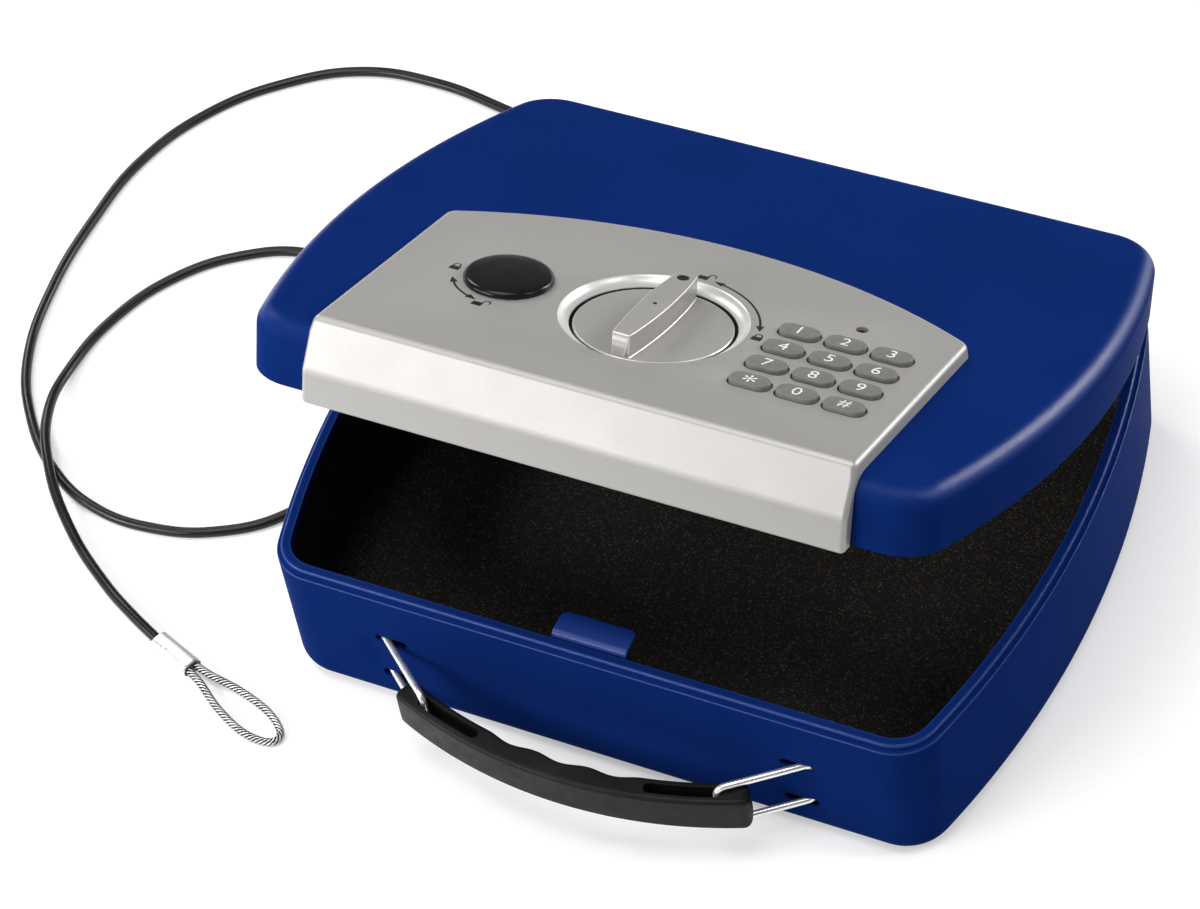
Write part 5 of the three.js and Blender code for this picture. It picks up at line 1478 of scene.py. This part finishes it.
# Dial: a knob moulded and painted with the panel, a thin disc with a tall bar across it to turn it by. A
# small hole marks the bar's middle, its bottom painted black as shade, and a black dot near its back end
# shows which way it points. A black rubber ring lies under the disc and lines the gap round it, a dark
# sheet that stands in for the shade in that gap.
disc_thick = 0.0016
disc_edge = 0.00035
bar_height = 0.0082
bar_top = dial_z + bar_height
bar_roll = 0.00035
bar_foot = 0.0002
bar_half_length = 0.0255
bar_hole = 0.0008
dot_radius = 0.0022
dot_y = -0.0279
dot_deep = 0.0004
gap_ring_inner = 0.024
bar_sides = [
    ((0.0032, -0.0752), (0.0052, -0.0480), (0.0038, -0.0243)),
    ((-0.0038, -0.0250), (-0.0050, -0.0480), (-0.0032, -0.0750)),
]
disc_profile = [
    (0, dial_z - disc_thick),
    (dial_radius, dial_z - disc_thick),
    (dial_radius, dial_z - disc_edge),
    (dial_radius - disc_edge, dial_z),
    (0, dial_z),
]
dial = turned("dial_knob", disc_profile, silver_paint, dial_place, 96)
# The disc's chamfered rim takes the lighter silver: painted highlight.
dial.data.materials.append(silver_painted_highlight)
for face in dial.data.polygons:
    if abs(face.center.z - dial_z + disc_edge / 2) < disc_edge / 4:
        face.material_index = 1


def bowed(start, middle, end, steps):
    """Places on one bowed side, through its widest place."""
    places = []
    for i in range(steps + 1):
        t = i / steps
        places.append(Vector((
            start[0] * (1 - t) + end[0] * t + 4 * (middle[0] - (start[0] + end[0]) / 2) * t * (1 - t),
            start[1] * (1 - t) + end[1] * t,
        )))
    return places


def bar_ring(grow, height):
    """The bar from above: two bowed sides moved out by a growth, and two straight ends drawn in by it."""
    ring = []
    for side in bar_sides:
        for place in bowed(*side, 16):
            out = math.copysign(grow, place.x)
            pull = grow * (dial_y - place.y) / bar_half_length
            ring.append(Vector((place.x + out, place.y + pull, height)))
    return ring


bar = make_mesh("dial_bar", *loft([bar_ring(0, z) for z in (dial_z - disc_thick / 2, bar_top)]), silver_paint)
# The bar's rolled edges and its foot take the lighter silver: painted highlight.
bar.data.materials.append(silver_painted_highlight)
round_edges(bar, bar_roll, steps=3, sharp=30, finish_slot=1)
foot_levels = [(bar_foot, dial_z - bar_foot), (bar_foot, dial_z), (0, dial_z + bar_foot)]
foot = make_mesh("dial_bar_foot", *loft([bar_ring(*level) for level in foot_levels]), silver_paint)
use_second_finish(foot, silver_painted_highlight)
cut_away(dial, [bar, foot], "UNION")
hole_bottom = bar_top - dot_deep
cut_away(dial, [
    round_block("hole_cutter", (0, y), radius, hole_bottom, bar_top + overrun, silver_paint, 32)
    for y, radius in ((dial_y, bar_hole), (dot_y, dot_radius))
])
even_normals(dial, sharp=30)
place_on_lid(dial, "dial", "silver_plastic", "dial")
# The dot is printed black. The small hole's bottom is painted black too, as shade in the hole.
for name, y, radius in (("dial_dot", dot_y, dot_radius), ("dial_hole", dial_y, bar_hole)):
    spot = round_block(name, (0, y), radius, hole_bottom - dot_deep, hole_bottom + ink, ink_black, 32)
    place_on_lid(spot, "dial", "gloss_black_cap")

# A dark ring in the gap round the disc: painted shade.
gap_shade_ring_profile = [
    (gap_ring_inner, lid_top - ink),
    (dish_foot, lid_top - ink),
    (dish_foot, dial_z - fine_roll),
    (dish_foot - fine_roll, dial_z - fine_roll),
    (dish_foot - fine_roll, lid_top + fine_roll),
    (gap_ring_inner, lid_top + fine_roll),
]
gap_shade_ring = turned("dial_gap_shade_ring", gap_shade_ring_profile, rubber_black, dial_place, 96)
place_on_lid(gap_shade_ring, "lid", "black_grip")

# Lock works: the dial's spindle carries a cam and a crank, whose pin pushes the bolt. A solenoid's plunger
# drops into the cam's notch. They are pressed and turned in steel, plated with zinc, and sit in the case.
works_roll = 0.0002
eased("dial_spindle", zinc, works_roll, "dial", "zinc_steel")
eased("latch_bolt", zinc, 2 * works_roll, "bolt", "zinc_steel")
eased("solenoid", zinc, 3 * works_roll, "lid", "zinc_steel")
eased("solenoid_plunger", zinc, works_roll, "plunger", "zinc_steel")

# Case: a tray moulded in black plastic, with a deeper nose for the bolt and a door over the cells. Four pan
# head screws with a cross recess hold it up under the lid.
case_roll = 0.0005
screw_x = 0.088
screw_front_y = -0.092
screw_back_y = -0.022
screw_seat = 0.0761
screw_head = 0.0019
screw_head_radius = 0.0029
screw_round_share = 0.6
screw_radius = 0.0015
screw_tip = 0.0827
recess_half = 0.00035
recess_reach = 0.0016
recess_deep = 0.0011
case_black = grained(
    "case_black_plastic",
    colours=((0.0085, 0.0085, 0.0085), (0.013, 0.013, 0.0128)), colour_grain=dict(size=0.03),
    roughness=(0.44, 0.56), roughness_grain=dict(size=0.01), specular=0.35,
)
bump(case_black, noise(case_black, size=0.0005, detail=4), strength=0.3, depth=0.0001)
eased("lock_case", case_black, case_roll, "lid", "black_case")
eased("battery_door", case_black, case_roll / 2, "door", "black_case")

screw_profile = [
    (0, screw_seat - screw_head),
    *rolled_under(screw_head_radius, screw_seat - screw_head, screw_head * screw_round_share),
    (screw_head_radius, screw_seat),
    (screw_radius, screw_seat),
    (screw_radius, screw_tip),
    (0, screw_tip),
]
screw_places = [(x, y) for y in (screw_front_y, screw_back_y) for x in (-screw_x, screw_x)]
for number, (x, y) in enumerate(screw_places, 1):
    screw = turned(f"case_screw_{number}_cross", screw_profile, zinc, Matrix.Translation((x, y, 0)), 32)
    low, high = screw_seat - screw_head - overrun, screw_seat - screw_head + recess_deep
    cut_away(screw, [
        block_cutter((x - recess_half, y - recess_reach, low), (x + recess_half, y + recess_reach, high)),
        block_cutter((x - recess_reach, y - recess_half, low), (x + recess_reach, y + recess_half, high)),
    ])
    even_normals(screw)
    place_on_lid(screw, "lid", "zinc_steel", f"case_screw_{number}")

# Cells: four standard cells, steel cans in a printed wrap, dark with a copper band. They lie side by side in
# the case, and its door keeps them in.
cell_wrap = finish("cell_wrap", colour=(0.02, 0.02, 0.022), roughness=0.25, metallic=0.2)
cell_place = cell_wrap.node_tree.nodes.new("ShaderNodeTexCoord")
cell_axes = cell_wrap.node_tree.nodes.new("ShaderNodeSeparateXYZ")
cell_wrap.node_tree.links.new(cell_place.outputs["Object"], cell_axes.inputs["Vector"])
band_steepness = 22
band_shift = -0.9
cell_band = worked_out(
    cell_wrap.node_tree, "MULTIPLY_ADD", cell_axes.outputs["X"], band_steepness, band_shift
)
vary_colour(cell_wrap, cell_band, (0.42, 0.16, 0.04), (0.015, 0.015, 0.016), low=0.0, high=0.04)
vary_roughness(cell_wrap, noise(cell_wrap, size=0.004), low=0.2, high=0.34)
for number in range(1, 5):
    eased(f"cell_{number}", cell_wrap, works_roll, "lid", "cell_wrap")

# Spare-key lock: a turned brass cylinder, held in a hole in the lid and hidden by the cap. The key turns the
# plug inside it, which has a narrow keyway.
cylinder_radius = 0.009
cylinder_bore = 0.0063
cylinder_bottom = 0.0651
cylinder_top = 0.0831
plug_radius = 0.006
keyway_half_length = 0.004
keyway_half_width = 0.0008
keyway_deep = 0.012
lock_brass = grained(
    "lock_brass",
    colours=((0.5, 0.35, 0.16), (0.7, 0.5, 0.24)), colour_grain=dict(size=0.003),
    roughness=(0.22, 0.4), roughness_grain=dict(size=0.001, stretch=(1, 1, 4)), metallic=1.0,
)
bump(lock_brass, noise(lock_brass, size=0.0003), strength=0.2, depth=0.00005)
cylinder_profile = [
    (cylinder_bore, cylinder_bottom),
    *rolled_under(cylinder_radius, cylinder_bottom, fine_roll),
    *rolled(cylinder_radius, cylinder_top, fine_roll),
    (cylinder_bore + fine_roll, cylinder_top),
    (cylinder_bore, cylinder_top - fine_roll),
]
key_lock_place = Matrix.Translation((*cap_place, 0))
cylinder = turned("lock_cylinder", cylinder_profile, lock_brass, key_lock_place, 64)
place_on_lid(cylinder, "lid", "lock_brass", "key_cylinder")
plug_profile = bar_profile(plug_radius, cylinder_bottom, cylinder_top, fine_roll)
plug = turned("lock_plug", plug_profile, lock_brass, key_lock_place, 48)
cut_away(plug, [block_cutter(
    (cap_place[0] - keyway_half_length, cap_place[1] - keyway_half_width, cylinder_top - keyway_deep),
    (cap_place[0] + keyway_half_length, cap_place[1] + keyway_half_width, cylinder_top + overrun),
)])
even_normals(plug)
place_on_lid(plug, "plug", "lock_brass", "key_plug")

# Cap over the spare-key lock: a puck moulded in glossy black plastic, with a rolled edge. A ring under it
# snaps into the panel's hole.
cap_radius = 0.01535
cap_gap = 0.0003
cap_seat = panel_z + cap_gap
cap_height = 0.0026
cap_roll = 0.0018
cap_foot_roll = 0.0002
cap_crown = 0.0003
cap_crown_drop = 0.0001
cap_crown_share = 0.6
cap_ring_radius = 0.0117
cap_ring_inner = 0.0102
cap_ring_depth = 0.0022
gloss_black = grained(
    "gloss_black_plastic",
    colours=((0.005, 0.005, 0.005), (0.008, 0.008, 0.0078)), colour_grain=dict(size=0.01),
    roughness=(0.17, 0.26), roughness_grain=dict(size=0.006), specular=0.22,
)
bump(gloss_black, noise(gloss_black, size=0.0005), strength=0.1, depth=0.00006)
cap_profile = [
    (0, cap_seat + cap_height / 4),
    (cap_ring_inner, cap_seat + cap_height / 4),
    (cap_ring_inner, cap_seat - cap_ring_depth),
    (cap_ring_radius, cap_seat - cap_ring_depth),
    (cap_ring_radius, cap_seat),
    (cap_radius - cap_foot_roll, cap_seat),
    (cap_radius, cap_seat + cap_foot_roll),
    *rolled(cap_radius, cap_seat + cap_height - cap_crown, cap_roll, 6),
    (cap_radius * cap_crown_share, cap_seat + cap_height - cap_crown_drop),
    (0, cap_seat + cap_height),
]
cap = turned("key_cap_puck", cap_profile, gloss_black, Matrix.Translation((*cap_place, 0)), 80)
place_on_lid(cap, "cap", "gloss_black_cap", "key_cap")

# Keypad board and lamp: a green circuit board with paler tracks lies under the keys. The lamp's lens, made of
# smoked plastic, stands in the panel above them.
board_green = grained(
    "board_green",
    colours=((0.008, 0.07, 0.028), (0.02, 0.14, 0.06)), colour_grain=dict(size=0.0015, detail=1),
    roughness=(0.28, 0.45), roughness_grain=dict(size=0.004), colour_range=(0.5, 0.56),
)
eased("keypad_board", board_green, works_roll, "lid", "board_green")
lens_radius = 0.0019
lens_bottom = 0.0803
lens_top = 0.0846
smoked_lens = grained(
    "smoked_lens",
    colours=((0.01, 0.005, 0.005), (0.02, 0.009, 0.009)), colour_grain=dict(size=0.001),
    roughness=(0.08, 0.16), roughness_grain=dict(size=0.002),
)
lens_profile = [
    (0, lens_bottom),
    (lens_radius, lens_bottom),
    *rolled(lens_radius, lens_top - fine_roll, 3 * fine_roll),
    (0, lens_top),
]
lens = turned("lamp_lens_dome", lens_profile, smoked_lens, Matrix.Translation((*lamp_place, 0)), 32)
place_on_lid(lens, "lid", "smoked_lens", "lamp_lens")

# Keys: one key moulded in grey rubber for each digit, a star and a hash sign, each in its own opening in the
# panel. The signs are printed on them in white.
key_top = 0.08665
key_bottom = 0.0825
key_roll = 0.0005
key_grey = grained(
    "key_grey_rubber",
    colours=((0.151, 0.147, 0.136), (0.171, 0.167, 0.154)), colour_grain=dict(size=0.002),
    roughness=(0.44, 0.56), roughness_grain=dict(size=0.001), specular=0.3,
)
bump(key_grey, noise(key_grey, size=0.0003), strength=0.15, depth=0.00004)
sign_white = finish("sign_white", colour=(0.8, 0.8, 0.78), roughness=0.5)
vary_colour(sign_white, noise(sign_white, size=0.001), (0.74, 0.74, 0.72), (0.84, 0.84, 0.82))
sign_height = 0.0049
sign_thinning = -0.006
sign_lift = 0.00003
signs = {"star": "*", "hash": "#"}

key_levels = [(0, key_bottom), *quarter(0, key_top, key_roll, 4, "upright_to_flat")]
for name, place in key_places.items():
    key_rings = [key_ring(place, -inset, height) for inset, height in key_levels]
    key = make_mesh(f"key_{name}_pad", *loft(key_rings), key_grey)
    place_on_lid(key, f"key_{name}", "key_rubber", f"key_{name}")
    text = bpy.data.curves.new("sign", "FONT")
    text.body = signs.get(name, name)
    text.extrude = sign_lift
    text.offset = 0 if name == "star" else sign_thinning
    text_object = add_object("sign", text)
    bpy.context.view_layer.update()
    sign_mesh = finished_mesh(text_object)
    bpy.data.objects.remove(text_object)
    corners = [point.co for point in sign_mesh.vertices]
    low = Vector([min(point[axis] for point in corners) for axis in range(2)])
    high = Vector([max(point[axis] for point in corners) for axis in range(2)])
    scale = sign_height / (high.y - low.y)
    middle = (low + high) / 2
    sign_mesh.transform(
        Matrix.Translation((*place, key_top))
        @ Matrix.Diagonal((scale, scale, 1, 1))
        @ Matrix.Translation((-middle.x, -middle.y, 0))
    )
    sign_mesh.materials.clear()
    sign_mesh.materials.append(sign_white)
    place_on_lid(add_object(f"key_{name}_sign", sign_mesh), f"key_{name}", "key_rubber")
